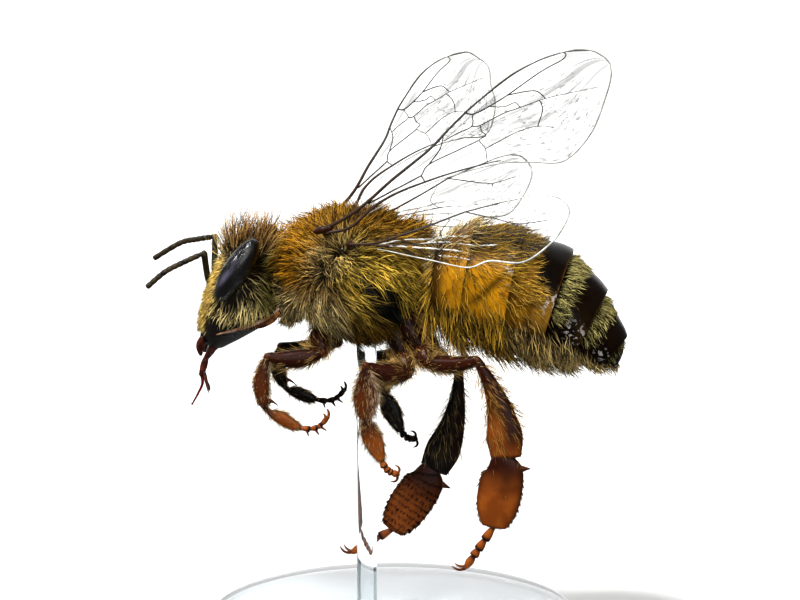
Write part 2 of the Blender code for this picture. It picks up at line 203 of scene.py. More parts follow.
# The wings, as flat outlines: distance from the root towards the tip, and across the wing
FOREWING_EDGES = (
    [(0.0, -0.14), (1.4, -0.12), (3.7, -0.46), (5.3, -0.86), (7.1, -1.12), (8.6, -0.9),
     (9.25, -0.6), (9.5, -0.26), (9.58, 0.02)],
    [(0.0, 0.14), (1.4, 0.22), (3.2, 0.34), (5.2, 0.8), (6.2, 1.26), (7.1, 1.72),
     (8.2, 1.4), (9.05, 0.72), (9.44, 0.34), (9.58, 0.02)],
)
HINDWING_EDGES = (
    [(0.0, -0.12), (1.6, -0.14), (3.6, -0.38), (5.6, -0.5), (6.3, -0.38), (6.58, -0.14), (6.66, 0.1)],
    [(0.0, 0.14), (0.8, 0.26), (2.2, 0.76), (3.4, 1.18), (4.1, 1.1), (5.1, 1.28),
     (6.0, 0.86), (6.48, 0.42), (6.66, 0.1)],
)
# The veins, each with its half-width at the root and at its end
FOREWING_VEINS = [
    ([(0.0, -0.05), (0.6, 0.0), (1.4, -0.06), (2.5, -0.27), (3.8, -0.46), (4.6, -0.68), (5.4, -0.88)],
     0.07, 0.038),
    ([(5.4, -0.88), (6.2, -1.0), (7.1, -1.09), (8.0, -1.04), (8.7, -0.86), (9.25, -0.58)], 0.036, 0.02),
    ([(0.0, 0.1), (0.7, 0.3), (1.6, 0.13), (2.4, 0.13), (3.26, 0.26), (4.2, 0.45), (5.1, 0.69),
      (5.5, 0.81)], 0.066, 0.016),
    ([(1.5, -0.02), (2.5, 0.02), (3.25, 0.05)], 0.032, 0.026),
    ([(3.25, 0.05), (3.61, -0.11), (4.4, -0.06), (5.23, 0.02)], 0.024, 0.021),
    ([(3.61, -0.11), (4.13, -0.33), (4.46, -0.66)], 0.022, 0.02),
    ([(3.25, 0.05), (3.26, 0.26)], 0.024, 0.024),
    ([(5.28, -0.84), (5.48, -0.7), (6.0, -0.66), (6.59, -0.67), (7.75, -0.76), (8.45, -0.74),
      (8.62, -0.84), (8.46, -0.96)], 0.03, 0.018),
    ([(4.35, -0.47), (4.8, -0.46), (5.26, -0.43), (5.44, -0.7)], 0.02, 0.02),
    ([(5.26, -0.43), (5.49, -0.33), (6.23, -0.29), (6.74, -0.19), (7.49, -0.05), (8.33, 0.21), (8.99, 0.43)],
     0.023, 0.012),
    ([(5.97, -0.66), (6.35, -0.44), (6.68, -0.38), (6.74, -0.19)], 0.019, 0.019),
    ([(6.59, -0.67), (7.1, -0.5), (7.39, -0.34), (7.49, -0.05)], 0.024, 0.022),
    ([(5.49, -0.33), (5.43, -0.16), (5.47, -0.01), (5.23, 0.02), (5.28, 0.31), (5.14, 0.66)], 0.022, 0.014),
    ([(7.31, -0.08), (7.3, 0.08), (7.22, 0.24), (6.92, 0.51)], 0.023, 0.02),
    ([(5.28, 0.31), (6.32, 0.36), (6.92, 0.51), (7.33, 0.78)], 0.019, 0.012),
]
HINDWING_VEINS = [
    ([(0.0, 0.0), (0.76, 0.08), (1.64, -0.03), (2.4, -0.15), (3.58, -0.37)], 0.05, 0.028),
    ([(3.58, -0.37), (4.68, -0.46), (5.2, -0.48)], 0.024, 0.018),
    ([(3.58, -0.38), (4.4, -0.06), (5.1, 0.2), (5.95, 0.24)], 0.023, 0.014),
    ([(5.1, 0.2), (4.96, 0.37)], 0.018, 0.014),
    ([(0.3, 0.05), (1.2, 0.22), (2.3, 0.34), (3.3, 0.46)], 0.03, 0.012),
    ([(2.9, 0.42), (2.75, 0.1), (3.1, -0.22)], 0.016, 0.014),
]
# Painted highlights: pale lines along the creases of the hind wing, standing for glints
HINDWING_CREASE_GLINTS = [
    ([(0.9, 0.14), (1.6, 0.12), (2.5, 0.22), (3.4, 0.16)], 0.03, 0.014),
    ([(1.1, 0.2), (2.0, 0.4), (2.9, 0.6), (3.6, 0.8)], 0.036, 0.014),
    ([(1.9, 0.3), (2.8, 0.36), (3.8, 0.62), (4.6, 0.7)], 0.024, 0.01),
    ([(2.6, 0.72), (3.1, 0.84), (3.5, 0.98)], 0.024, 0.01),
    ([(2.3, 0.3), (2.9, 0.24), (3.7, 0.34)], 0.022, 0.008),
]
HOOK_SPAN = (3.62, 4.72)  # the hooks along the front of the hind wing
WINGS = {
    "forewing_left": ((-1.7, -1.92, 1.8), (8.24, -0.9, 5.03), (0.55, -0.1, -0.83)),
    "forewing_right": ((-2.05, 1.94, 1.74), (3.58, 7.96, 3.96), (0.74, -0.01, -0.67)),
    "hindwing_left": ((-0.96, -2.1, 1.42), (6.6, -1.4, 1.42), (0.2, -0.16, -0.97)),
    "hindwing_right": ((-1.35, 2.12, 1.5), (4.77, 4.5, 1.25), (0.4, -0.2, -0.9)),
}
MEMBRANE_THICK = 0.012

# The stand
BASE_RADIUS = 5.5
BASE_THICK = 1.0
BASE_EDGE = 0.15
ROD_RADIUS = 0.3
ROD_X = -0.8
ROD_TOP = -1.62

# The floor, in metres: half its width, and how far it lies below the stand
FLOOR_HALF = 3.0
FLOOR_DROP = 0.00002

# The camera, round a point in the row frame
LOOK_AT = (0.2, 0.0, 10.47)
AZIMUTH = math.radians(8)
ELEVATION = math.radians(10)
DISTANCE = 80.0
VIEW_WIDTH = 23.53
SENSOR = 36.0

PATCH = 0.003  # the width of a hair's patch on the coat's own map


# Arrays and shapes


def unit(rows):
    return rows / np.maximum(np.linalg.norm(rows, axis=-1, keepdims=True), 1e-9)


def dot(a, b):
    return np.sum(a * b, axis=-1, keepdims=True)


def rise(start, whole, value):
    """0 before start, 1 past whole, and a soft step between."""
    share = np.clip((np.asarray(value, float) - start) / (whole - start), 0, 1)
    return share * share * (3 - 2 * share)


def bump(centre, reach, value):
    """1 at the centre, fading to 0 at the reach on both sides."""
    return 1 - rise(0, reach, np.abs(np.asarray(value, float) - centre))


def wander(points, size, seed):
    """A soft random field over space, with swells of this size, as one vector for each point."""
    rng = np.random.default_rng(seed)
    total = np.zeros((len(points), 3))
    for _ in range(7):
        wave = np.sin(points @ rng.normal(0, 2.2 / size, 3) + rng.uniform(0, 2 * math.pi))
        total += wave[:, None] * rng.normal(0, 0.5, 3)
    return total


def curve(rows, count):
    """count rows on a smooth curve through the given ones."""
    rows = np.asarray(rows, float)
    flat = rows[:, None] if rows.ndim == 1 else rows
    ends = np.vstack([2 * flat[0] - flat[1], flat, 2 * flat[-1] - flat[-2]])
    place = np.linspace(0, len(flat) - 1, count)
    first = np.minimum(place.astype(int), len(flat) - 2)
    t = (place - first)[:, None]
    a, b, c, d = (ends[first + step] for step in range(4))
    found = b + 0.5 * (
        (c - a) * t + (2 * a - 5 * b + 4 * c - d) * t**2 + (3 * b - a - 3 * c + d) * t**3
    )
    return found[:, 0] if rows.ndim == 1 else found


class Shape:
    """Points with triangles and quads, and marks: a value or a row of values for each point."""

    def __init__(self, points, tris=(), quads=(), **marks):
        self.points = np.asarray(points, float).reshape(-1, 3)
        self.tris = np.asarray(tris, int).reshape(-1, 3)
        self.quads = np.asarray(quads, int).reshape(-1, 4)
        self.marks = marks
        self.map_tris = None
        self.map_quads = None

    def all_tris(self):
        return np.vstack([self.tris, self.quads[:, [0, 1, 2]], self.quads[:, [0, 2, 3]]])

    def corners(self):
        """All triangles, and the points at the first, second and third corner of each."""
        tris = self.all_tris()
        return tris, *(self.points[tris[:, corner]] for corner in range(3))

    def normals(self):
        tris, a, b, c = self.corners()
        face = np.cross(b - a, c - a)
        total = np.zeros_like(self.points)
        for corner in range(3):
            np.add.at(total, tris[:, corner], face)
        return unit(total)

    def facing_out(self):
        _, a, b, c = self.corners()
        if np.sum(a * np.cross(b, c)) < 0:
            self.tris = self.tris[:, ::-1]
            self.quads = self.quads[:, ::-1]
        return self


def joined(shapes):
    shapes = list(shapes)
    starts = np.cumsum([0] + [len(shape.points) for shape in shapes[:-1]])
    marks = set.intersection(*(set(shape.marks) for shape in shapes))
    made = Shape(
        np.vstack([shape.points for shape in shapes]),
        np.vstack([shape.tris + start for shape, start in zip(shapes, starts)]),
        np.vstack([shape.quads + start for shape, start in zip(shapes, starts)]),
        **{name: np.concatenate([shape.marks[name] for shape in shapes]) for name in marks},
    )
    if shapes[0].map_tris is not None:
        made.map_tris = np.concatenate([shape.map_tris for shape in shapes])
        made.map_quads = np.concatenate([shape.map_quads for shape in shapes])
    return made


def loft(rings, **marks):
    """A closed skin over rings of as many points each, with a fan over each end."""
    rings = np.asarray(rings, float)
    count, around = rings.shape[:2]
    index = np.arange(count * around).reshape(count, around)
    after = np.roll(index, -1, axis=1)
    quads = np.stack([index[:-1], after[:-1], after[1:], index[1:]], axis=-1).reshape(-1, 4)
    first, last = count * around, count * around + 1
    start = np.stack([np.full(around, first), after[0], index[0]], axis=-1)
    end = np.stack([np.full(around, last), index[-1], after[-1]], axis=-1)
    points = np.vstack([rings.reshape(-1, 3), rings[0].mean(0), rings[-1].mean(0)])
    full = {}
    for name, values in marks.items():
        values = np.asarray(values, float)
        rows = values.reshape(count * around, *values.shape[2:])
        full[name] = np.concatenate([rows, values[0].mean(0)[None], values[-1].mean(0)[None]])
    return Shape(points, np.vstack([start, end]), quads, **full).facing_out()


def ball(centre, half, lean=0.0, power=2.0, around=16, levels=12):
    """A rounded block, turned by lean about the Y axis."""
    level = np.linspace(-math.pi / 2 * 0.985, math.pi / 2 * 0.985, levels)[:, None]
    turn = np.linspace(0, 2 * math.pi, around, endpoint=False)[None]
    way = np.stack(
        [np.cos(level) * np.cos(turn), np.cos(level) * np.sin(turn), np.sin(level) + 0 * turn], axis=-1
    )
    way *= (np.abs(way) ** power).sum(-1, keepdims=True) ** (-1 / power)
    way *= half
    c, s = math.cos(lean), math.sin(lean)
    x, y, z = np.moveaxis(way, -1, 0)
    turned = np.stack([x * c + z * s, y, z * c - x * s], axis=-1)
    return loft(turned + np.asarray(centre, float))


def tube(path, wide, thick=None, side=ASIDE, around=16, power=2.0, steps=24, blunt=0.35):
    """A closed length along a curve through the path, with smooth half-widths and rounded ends.

    thick is the half-thickness along side; marks hold the lie and the place round and along it.
    """
    path = curve(path, steps)
    wide = curve(wide, steps)
    thick = wide if thick is None else curve(thick, steps)
    along = unit(np.gradient(path, axis=0))
    first = along[0] * thick[0] * blunt
    last = along[-1] * thick[-1] * blunt
    path = np.vstack([path[0] - first, path, path[-1] + last])
    along = np.vstack([along[0], along, along[-1]])
    wide = np.concatenate([[wide[0] * 0.55], wide, [wide[-1] * 0.55]])[:, None]
    thick = np.concatenate([[thick[0] * 0.55], thick, [thick[-1] * 0.55]])[:, None]
    across = unit(np.cross(along, np.asarray(side, float)))
    flat = unit(np.cross(across, along))
    turn = 2 * math.pi * (np.arange(around) + 0.5) / around
    c, s = np.cos(turn), np.sin(turn)
    reach = (np.abs(c) ** power + np.abs(s) ** power) ** (-1 / power)
    rings = (
        path[:, None]
        + across[:, None] * (wide * (c * reach))[..., None]
        + flat[:, None] * (thick * (s * reach))[..., None]
    )
    count = len(path)
    share = np.broadcast_to(np.linspace(0, 1, count)[:, None], (count, around))
    lie = np.broadcast_to(along[:, None], (count, around, 3))
    round_it = np.broadcast_to(turn[None] / (2 * math.pi), (count, around))
    return loft(rings, share=share, lie=lie, turn=round_it)


def spike(start, way, length, width, hook=(0, 0, 0), around=8, steps=8):
    """A curved thorn that narrows to its tip."""
    share = np.linspace(0, 1, steps)[:, None]
    start, way, hook = (np.asarray(value, float) for value in (start, way, hook))
    path = start + unit(way) * length * share + hook * share**2
    width = width * np.linspace(1, 0.06, steps) ** 0.8
    side = ASIDE if abs(unit(way)[1]) < 0.9 else UP
    return tube(path, width, side=side, around=around, steps=steps, blunt=0.2)


# Meshes and objects


def in_row(points):
    return (points + (0, 0, BEE_HEIGHT)) * MM


def mesh_of(name, shape, places=in_row):
    """The shape as a smooth mesh; its marks become attributes and its own map the bake map."""
    data = bpy.data.meshes.new(name)
    points = places(shape.points)
    data.vertices.add(len(points))
    data.vertices.foreach_set("co", points.ravel().astype(np.float32))
    corners = np.concatenate([shape.tris.ravel(), shape.quads.ravel()])
    data.loops.add(len(corners))
    data.loops.foreach_set("vertex_index", corners.astype(np.int32))
    ends = len(shape.tris) * 3
    starts = np.concatenate([np.arange(len(shape.tris)) * 3, ends + np.arange(len(shape.quads)) * 4])
    data.polygons.add(len(starts))
    data.polygons.foreach_set("loop_start", starts.astype(np.int32))
    data.update(calc_edges=True)
    data.validate()
    for mark, values in shape.marks.items():
        values = np.asarray(values, np.float32)
        if mark == "zones":
            made = data.attributes.new(mark, "FLOAT_COLOR", "POINT")
            made.data.foreach_set("color", values.ravel())
        elif values.ndim == 1:
            made = data.attributes.new(mark, "FLOAT", "POINT")
            made.data.foreach_set("value", values)
    if shape.map_tris is not None:
        chart = data.uv_layers.new(name="OFBake")
        rows = np.concatenate([shape.map_tris.reshape(-1, 2), shape.map_quads.reshape(-1, 2)])
        chart.data.foreach_set("uv", rows.ravel().astype(np.float32))
    data.shade_smooth()
    return data


def piece(name, shape, look, replaces=()):
    """A shown object that rides on the bee's one body."""
    data = shape if isinstance(shape, bpy.types.Mesh) else mesh_of(name, shape)
    data.materials.clear()
    data.materials.append(look)
    made = bpy.data.objects.new(name, data)
    bpy.context.scene.collection.objects.link(made)
    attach(made, "root")
    if replaces:
        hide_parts(*replaces)
    return made


def shape_of(name):
    """The mesh of a piece, back as a shape in the bee's frame."""
    data = bpy.data.objects[name].data
    points = np.empty(len(data.vertices) * 3, np.float32)
    data.vertices.foreach_get("co", points)
    data.calc_loop_triangles()
    tris = np.empty(len(data.loop_triangles) * 3, np.int32)
    data.loop_triangles.foreach_get("vertices", tris)
    return Shape(points.reshape(-1, 3).astype(float) / MM - (0, 0, BEE_HEIGHT), tris)


# Hair


def scatter(shape, count, rng, weight):
    """Roots spread over a shape: places, normals and the shape's marks there."""
    tris, a, b, c = shape.corners()
    area = np.linalg.norm(np.cross(b - a, c - a), axis=1) * weight((a + b + c) / 3)
    pick = tris[rng.choice(len(tris), count, p=area / area.sum())]
    u, v = rng.random((2, count))
    over = u + v > 1
    u, v = np.where(over, 1 - u, u), np.where(over, 1 - v, v)
    shares = np.stack([1 - u - v, u, v], axis=1)

    def mixed(values):
        values = values[:, None] if values.ndim == 1 else values
        return (values[pick] * shares[..., None]).sum(1)

    marks = {name: mixed(values) for name, values in shape.marks.items()}
    return mixed(shape.points), unit(mixed(shape.normals())), marks


def strands(
    roots, normals, lie, chart, zones, length, width, lift, rng, *,
    stray, bend, fall=0.0, lock=1, draw=0.0, wave=0.06, rings=3,
):
    """Hairs as closed, tapering, three-sided solids.

    lift is 0 for hair that lies flat along lie and 1 for hair that stands up; stray is how far
    hairs differ, bend how far they curve back to the skin, fall how far the ends drop, lock how
    many share a tip, draw how near to it, wave how far they swing from side to side, and rings
    the joints in each hair.
    """
    count = len(roots)
    length = np.broadcast_to(length, count) * (0.5 + 0.9 * rng.random(count) ** 1.8)
    width = np.broadcast_to(width, count) * rng.uniform(0.7, 1.3, count)
    lift = np.broadcast_to(lift, count)[:, None]
    stray = np.broadcast_to(stray, count)[:, None]
    lie = unit(lie - normals * dot(lie, normals))
    start = unit(normals * lift + lie * (1 - lift) + rng.normal(0, 1, (count, 3)) * stray)
    turned = start + bend * (lie - 0.3 * normals) - (fall * UP) + rng.normal(0, 1, (count, 3)) * stray
    turned = unit(turned)
    swing = unit(np.cross(start, normals + 1e-4)) * (length * wave * rng.normal(0, 1, count))[:, None]
    tips = roots + length[:, None] * (start + turned) / 2
    pull = np.zeros((count, 3))
    if lock > 1:
        leaders = rng.choice(count, max(1, count // lock), replace=False)
        tree = kdtree.KDTree(len(leaders))
        for place, leader in enumerate(leaders):
            tree.insert(roots[leader], place)
        tree.balance()
        near = leaders[[tree.find(root)[1] for root in roots]]
        pull = (tips[near] - tips) * draw
        pull *= np.minimum(1, 0.35 / np.maximum(np.linalg.norm(pull, axis=1, keepdims=True), 1e-6))
    shares = np.linspace(0, 1, rings + 1)
    turn = 2 * math.pi * np.arange(3) / 3
    points = []
    for share in shares[:-1]:
        way = unit(start + (turned - start) * share + 2 * share * pull / length[:, None])
        centre = roots - normals * 0.02 + length[:, None] * (start * share + (turned - start) * share**2 / 2)
        centre = centre + pull * share**2 + swing * math.sin(2.1 * math.pi * share)
        across = unit(np.cross(way, normals + 1e-4))
        over = np.cross(across, way)
        radius = (width / 2 * (1 - share) ** 0.6)[:, None, None]
        ring = across[:, None] * np.cos(turn)[:, None] + over[:, None] * np.sin(turn)[:, None]
        points.append(centre[:, None] + ring * radius)
    points.append((tips + pull)[:, None])
    points = np.concatenate(points, axis=1)
    each = 3 * rings + 1
    end = rings - 1
    tris = [(0, 1, 2)] + [(3 * end + k, each - 1, 3 * end + (k + 1) % 3) for k in range(3)]
    spots_tris = [((0.4, 0), (0.6, 0), (0.5, 0.02))]
    spots_tris += [((k / 3, end / rings), ((k + 0.5) / 3, 1), ((k + 1) / 3, end / rings)) for k in range(3)]
    cells = [((j, k), (j + 1, k), (j + 1, k + 1), (j, k + 1)) for j in range(end) for k in range(3)]
    quads = [[3 * j + k % 3 for j, k in cell] for cell in cells]
    spots_quads = [[(k / 3, j / rings) for j, k in cell] for cell in cells]
    offsets = (np.arange(count) * each)[:, None, None]
    made = Shape(
        points.reshape(-1, 3),
        (np.asarray(tris)[None] + offsets).reshape(-1, 3),
        (np.asarray(quads, int).reshape(-1, 4)[None] + offsets).reshape(-1, 4),
        along=np.tile(np.append(np.repeat(shares[:-1], 3), 1.0), count),
        tone=np.repeat(rng.random(count), each),
        zones=np.repeat(zones, each, axis=0),
    )
    for name, spots in (("map_tris", spots_tris), ("map_quads", spots_quads)):
        spots = (np.asarray(spots, float).reshape(len(spots), -1, 2) - 0.5) * PATCH
        rows = chart[:, None, None, :] + spots[None]
        setattr(made, name, rows.reshape(-1, spots.shape[1], 2))
    return made


def round_chart(points, centre):
    """Places on an unwrap round a centre: the turn about the body's length, and how far back."""
    away = unit(points - np.asarray(centre, float))
    turn = np.arctan2(away[:, 1], away[:, 2]) / (2 * math.pi) + 0.5
    return framed(turn, (away[:, 0] + 1) / 2)


def framed(across, up):
    """Places on an unwrap, kept off its edges."""
    return 0.02 + 0.96 * np.stack([across, up], axis=1)


# Colours and materials

# The settings of the three nodes that recur: a mix of two colours (its inputs are 0 for the share,
# 6 and 7 for the colours), a product of two colours, and a soft step from 0 to 1
MIX = {"data_type": "RGBA", "output": 2}
TINT = {"blend_type": "MULTIPLY", **MIX}
SOFT = {"interpolation_type": "SMOOTHSTEP"}
# The shares of red, green and blue that the shaded or clouded places of a finish keep
SKIN_SHADE = (0.06, 0.055, 0.055, 1)
PLATE_SHADE = (0.42, 0.34, 0.3, 1)
LEG_SHADE = (0.62, 0.56, 0.52, 1)
FACET_SHADE = (0.45, 0.45, 0.5, 1)
VEIN_GAIN = (1.7, 1.5, 1.3, 1)


def linear(code):
    """A hex colour as linear red, green, blue and a full alpha."""
    values = [int(code[start : start + 2], 16) / 255 for start in (1, 3, 5)]
    values = [v / 12.92 if v <= 0.04045 else ((v + 0.055) / 1.055) ** 2.4 for v in values]
    return (*values, 1.0)


def hue(name):
    return tuple(getattr(bpy.context.scene.bee_colours, name))


def add_node(tree, kind, inputs=None, output=0, **settings):
    """Adds a shader node with its settings, sets or links its inputs, and returns one output."""
    made = tree.nodes.new("ShaderNode" + kind)
    for name, value in settings.items():
        setattr(made, name, value)
    for name, value in (inputs or {}).items():
        if isinstance(value, bpy.types.NodeSocket):
            tree.links.new(value, made.inputs[name])
        else:
            made.inputs[name].default_value = value
    return made.outputs[output]


def per(size):
    """The scale of a pattern whose features are this many millimetres across."""
    return 1 / (size * MM)


def finish(name, **values):
    """A new material with these values set on its shader's own sockets, and its node tree."""
    made = bpy.data.materials.new(name)
    made.use_nodes = True
    for socket, value in values.items():
        made.node_tree.nodes["Principled BSDF"].inputs[socket.replace("_", " ")].default_value = value
    return made, made.node_tree


def dress(made, own, height=None, depth=0.0, **links):
    """Gives a material its colour, and raises its surface by depth millimetres where height is 1."""
    links["Base Color"] = own
    if height is not None:
        links["Normal"] = add_node(made.node_tree, "Bump", {"Height": height, "Distance": depth * MM})
    for name, socket in links.items():
        made.node_tree.links.new(socket, made.node_tree.nodes["Principled BSDF"].inputs[name])
    return made


def clouds(tree, size, detail=2.0, low=None, high=None):
    """Soft clouding with features of this many millimetres, spread from low to high if they are given."""
    place = add_node(tree, "TexCoord", output="Object")
    found = add_node(tree, "TexNoise", {"Vector": place, "Scale": per(size), "Detail": detail})
    if low is None:
        return found
    return add_node(tree, "MapRange", {"Value": found, "From Min": low, "From Max": high}, **SOFT)


def zoned(tree, base, *colours):
    """The base colour, and over it the colour of each zone that a point belongs to."""
    own = base
    split = add_node(tree, "SeparateColor", {"Color": add_node(tree, "Attribute", attribute_name="zones")})
    alpha = add_node(tree, "Attribute", output="Alpha", attribute_name="zones")
    for factor, colour in zip((*split.node.outputs, alpha), colours):
        own = add_node(tree, "Mix", {0: factor, 6: own, 7: colour}, **MIX)
    return own


def hair_finish(name, part, root_shade=0.08, paleness=0.6, darkest=0.15):
    """Hair of chitin: a painted shade darkens it where it leaves the shell, standing in for the shade between
    the hairs; its own colour along it and straw-pale tips.

    Some hairs are far darker than others, which keeps each one apart from its neighbours.
    """
    made, tree = finish(name, Roughness=0.55, Specular_IOR_Level=0.06)
    along = add_node(tree, "Attribute", output="Fac", attribute_name="along")
    tone = add_node(tree, "Attribute", output="Fac", attribute_name="tone")
    own = zoned(tree, *hair_colours(part))
    # Painted shade: each hair is darkened towards its root, in place of the shade that falls between the
    # hairs
    dark = add_node(tree, "Mix", {0: 1.0, 6: own, 7: (root_shade, root_shade, root_shade, 1)}, **TINT)
    share = add_node(tree, "MapRange", {"Value": along, "From Min": 0.05, "From Max": 0.65}, **SOFT)
    middle = add_node(tree, "Mix", {0: share, 6: dark, 7: own}, **MIX)
    straw = add_node(tree, "Mix", {0: 1.0, 6: own, 7: hue("straw")}, blend_type="SCREEN", **MIX)
    bright = add_node(tree, "RGBToBW", {"Color": own})
    share = add_node(tree, "MapRange", {"Value": bright, "From Max": 0.12, "To Max": paleness})
    pale = add_node(tree, "Mix", {0: share, 6: own, 7: straw}, **MIX)
    share = add_node(tree, "MapRange", {"Value": along, "From Min": 0.4}, **SOFT)
    drawn = add_node(tree, "Mix", {0: share, 6: middle, 7: pale}, **MIX)
    spread = {"Value": tone, "From Min": 0.3, "From Max": 0.95, "To Min": darkest, "To Max": 1.8}
    strength = add_node(tree, "MapRange", spread, **SOFT)
    return dress(made, add_node(tree, "HueSaturation", {"Color": drawn, "Value": strength}))


def hair_colours(part):
    names = {
        "thorax": ("thorax_hair", "gold_hair", "olive_hair", "dark_hair", "tan_hair"),
        "head": ("cheek_hair", "face_hair", "crown_hair", "nape_hair", "tan_hair"),
        "abdomen": ("belly_hair", "abdomen_hair", "band_hair", "dark_hair", "tan_hair"),
        "leg": ("leg_hair", "gold_hair", "band_hair", "bristle", "leg_down"),
    }[part]
    return [hue(name) for name in names]


def cuticle_finish():
    """Dark sclerotised cuticle under the coat: smooth, finely pitted, a low gloss between hairs."""
    made, tree = finish("pitted_cuticle", Roughness=0.24, Specular_IOR_Level=0.25)
    marked = zoned(tree, *hair_colours("thorax"))
    shade = add_node(tree, "Mix", {0: 1.0, 6: marked, 7: SKIN_SHADE}, **TINT)
    own = add_node(tree, "Mix", {0: clouds(tree, 0.5), 6: hue("cuticle"), 7: shade}, **MIX)
    place = add_node(tree, "TexCoord", output="Object")
    pits = add_node(tree, "TexVoronoi", {"Vector": place, "Scale": per(0.07)})
    return dress(made, own, add_node(tree, "MapRange", {"Value": pits, "From Max": 0.5}, **SOFT), 0.008)


def plate_finish():
    """Abdominal plates: glossy amber to black shell with a fine silky grain and waxy flecks."""
    made, tree = finish("polished_plate_cuticle", Roughness=0.26, Specular_IOR_Level=0.03)
    own = zoned(tree, *(hue(name) for name in ("plate", "amber", "plate_tan", "plate_black")))
    shade = add_node(tree, "Mix", {0: 1.0, 6: own, 7: PLATE_SHADE}, **TINT)
    own = add_node(tree, "Mix", {0: clouds(tree, 0.45, 4.0, 0.48, 0.72), 6: own, 7: shade}, **MIX)
    wax = add_node(tree, "Attribute", output="Fac", attribute_name="wax")
    flecks = add_node(tree, "Math", {0: clouds(tree, 0.14, 6.0, 0.54, 0.58), 1: wax}, operation="MULTIPLY")
    own = add_node(tree, "Mix", {0: flecks, 6: own, 7: hue("wax")}, **MIX)
    return dress(made, own, clouds(tree, 0.035, 3.0), 0.004)


def leg_finish(name):
    """Leg shell: chestnut outside and painted nearly black on the faces turned to the body, a painted shade;
    glossy, with fine wrinkles.
    """
    made, tree = finish(name, Roughness=0.3, Specular_IOR_Level=0.1)
    glow, facing, joints = (
        add_node(tree, "Attribute", output="Fac", attribute_name=mark) for mark in ("glow", "inside", "joint")
    )
    outer = add_node(tree, "Mix", {0: glow, 6: hue("leg"), 7: hue("leg_light")}, **MIX)
    shade = add_node(tree, "Mix", {0: 1.0, 6: outer, 7: LEG_SHADE}, **TINT)
    outer = add_node(tree, "Mix", {0: clouds(tree, 0.5, 3.0, 0.3, 0.7), 6: shade, 7: outer}, **MIX)
    own = add_node(tree, "Mix", {0: facing, 6: outer, 7: hue("leg_inner")}, **MIX)
    own = add_node(tree, "Mix", {0: joints, 6: own, 7: hue("leg_dark")}, **MIX)
    return dress(made, own, clouds(tree, 0.05, 3.0), 0.004)


def horn_finish(name, colour, other, rough=0.3, size=0.25):
    """Thin hard cuticle of one hue with soft clouding and a fine grain."""
    made, tree = finish(name, Roughness=rough, Specular_IOR_Level=0.2)
    share = clouds(tree, size, 3.0, 0.35, 0.65)
    own = add_node(tree, "Mix", {0: share, 6: hue(colour), 7: hue(other)}, **MIX)
    return dress(made, own, clouds(tree, 0.04), 0.003)


def eye_finish():
    """Compound eye: smooth dark lens plates in a honeycomb, with a painted reflection: a grey-blue sheen
    painted down its front. Real facets are about 0.024 mm across, too fine to show, so they are drawn at 0.06
    mm."""
    made, tree = finish("faceted_eye_cornea", Roughness=0.14, Specular_IOR_Level=0.5)
    place = add_node(tree, "TexCoord", output="Object")
    comb = {"Vector": place, "Scale": per(0.06), "Randomness": 0.25}
    facets = add_node(tree, "TexVoronoi", comb, feature="DISTANCE_TO_EDGE")
    edge = add_node(tree, "MapRange", {"Value": facets, "From Max": 0.12}, **SOFT)
    sheen = add_node(tree, "Attribute", output="Fac", attribute_name="sheen")
    share = add_node(tree, "Math", {0: sheen, 1: clouds(tree, 0.35, 3.0, 0.3, 0.6)}, operation="MULTIPLY")
    own = add_node(tree, "Mix", {0: share, 6: hue("eye"), 7: hue("eye_light")}, **MIX)
    shade = add_node(tree, "Mix", {0: 1.0, 6: own, 7: FACET_SHADE}, **TINT)
    return dress(made, add_node(tree, "Mix", {0: edge, 6: shade, 7: own}, **MIX), edge, 0.002)


def membrane_finish():
    """Wing membrane: clear, very thin chitin with darker grey streaks and tiny hairs seen as dashes."""
    made, tree = finish("clear_wing_membrane", Roughness=0.2, Specular_IOR_Level=0.3)
    out = add_node(tree, "Attribute", output="Fac", attribute_name="wing_out")
    across = add_node(tree, "Attribute", output="Fac", attribute_name="wing_across")
    place = add_node(tree, "CombineXYZ", {"X": out, "Y": across})
    shares = []
    # For each mark: its strength, the length of its streaks in millimetres, their width as a share
    # of the wing's breadth, and the spread of the clouding that makes them
    for mark, strength, long, narrow, low, high in (
        ("smoke", 0.36, 2.6, 0.075, 0.44, 0.66),
        ("outer", 0.45, 0.24, 0.02, 0.56, 0.6),
    ):
        drawn = add_node(tree, "Mapping", {"Vector": place, "Scale": (1 / long, 1 / narrow, 1.0)})
        streaks = add_node(tree, "TexNoise", {"Vector": drawn, "Scale": 1.0})
        streaks = add_node(tree, "MapRange", {"Value": streaks, "From Min": low, "From Max": high}, **SOFT)
        within = add_node(tree, "Attribute", output="Fac", attribute_name=mark)
        share = add_node(tree, "Math", {0: within, 1: streaks}, operation="MULTIPLY")
        shares.append(add_node(tree, "Math", {0: share, 1: strength}, operation="MULTIPLY"))
    total = add_node(tree, "Math", {0: shares[0], 1: shares[1]}, operation="MAXIMUM")
    smoky = add_node(tree, "MapRange", {"Value": total, "From Max": 0.2}, **SOFT)
    own = add_node(tree, "Mix", {0: smoky, 6: hue("membrane"), 7: hue("smoke")}, **MIX)
    return dress(made, own, Alpha=add_node(tree, "Math", {0: total, 1: 0.02}, operation="ADD"))


def vein_finish():
    """Wing veins: brown tubes of chitin, nearly black at the root and thin and grey further out."""
    made, tree = finish("vein_chitin", Roughness=0.4, Specular_IOR_Level=0.25)
    out = add_node(tree, "Attribute", output="Fac", attribute_name="out")
    share = add_node(tree, "MapRange", {"Value": out, "From Min": 0.1, "From Max": 0.42}, **SOFT)
    own = add_node(tree, "Mix", {0: share, 6: hue("vein_root"), 7: hue("vein")}, **MIX)
    pale = add_node(tree, "Mix", {0: 1.0, 6: own, 7: VEIN_GAIN}, **TINT)
    return dress(made, add_node(tree, "Mix", {0: clouds(tree, 0.2, 2.0, 0.4, 0.7), 6: own, 7: pale}, **MIX))


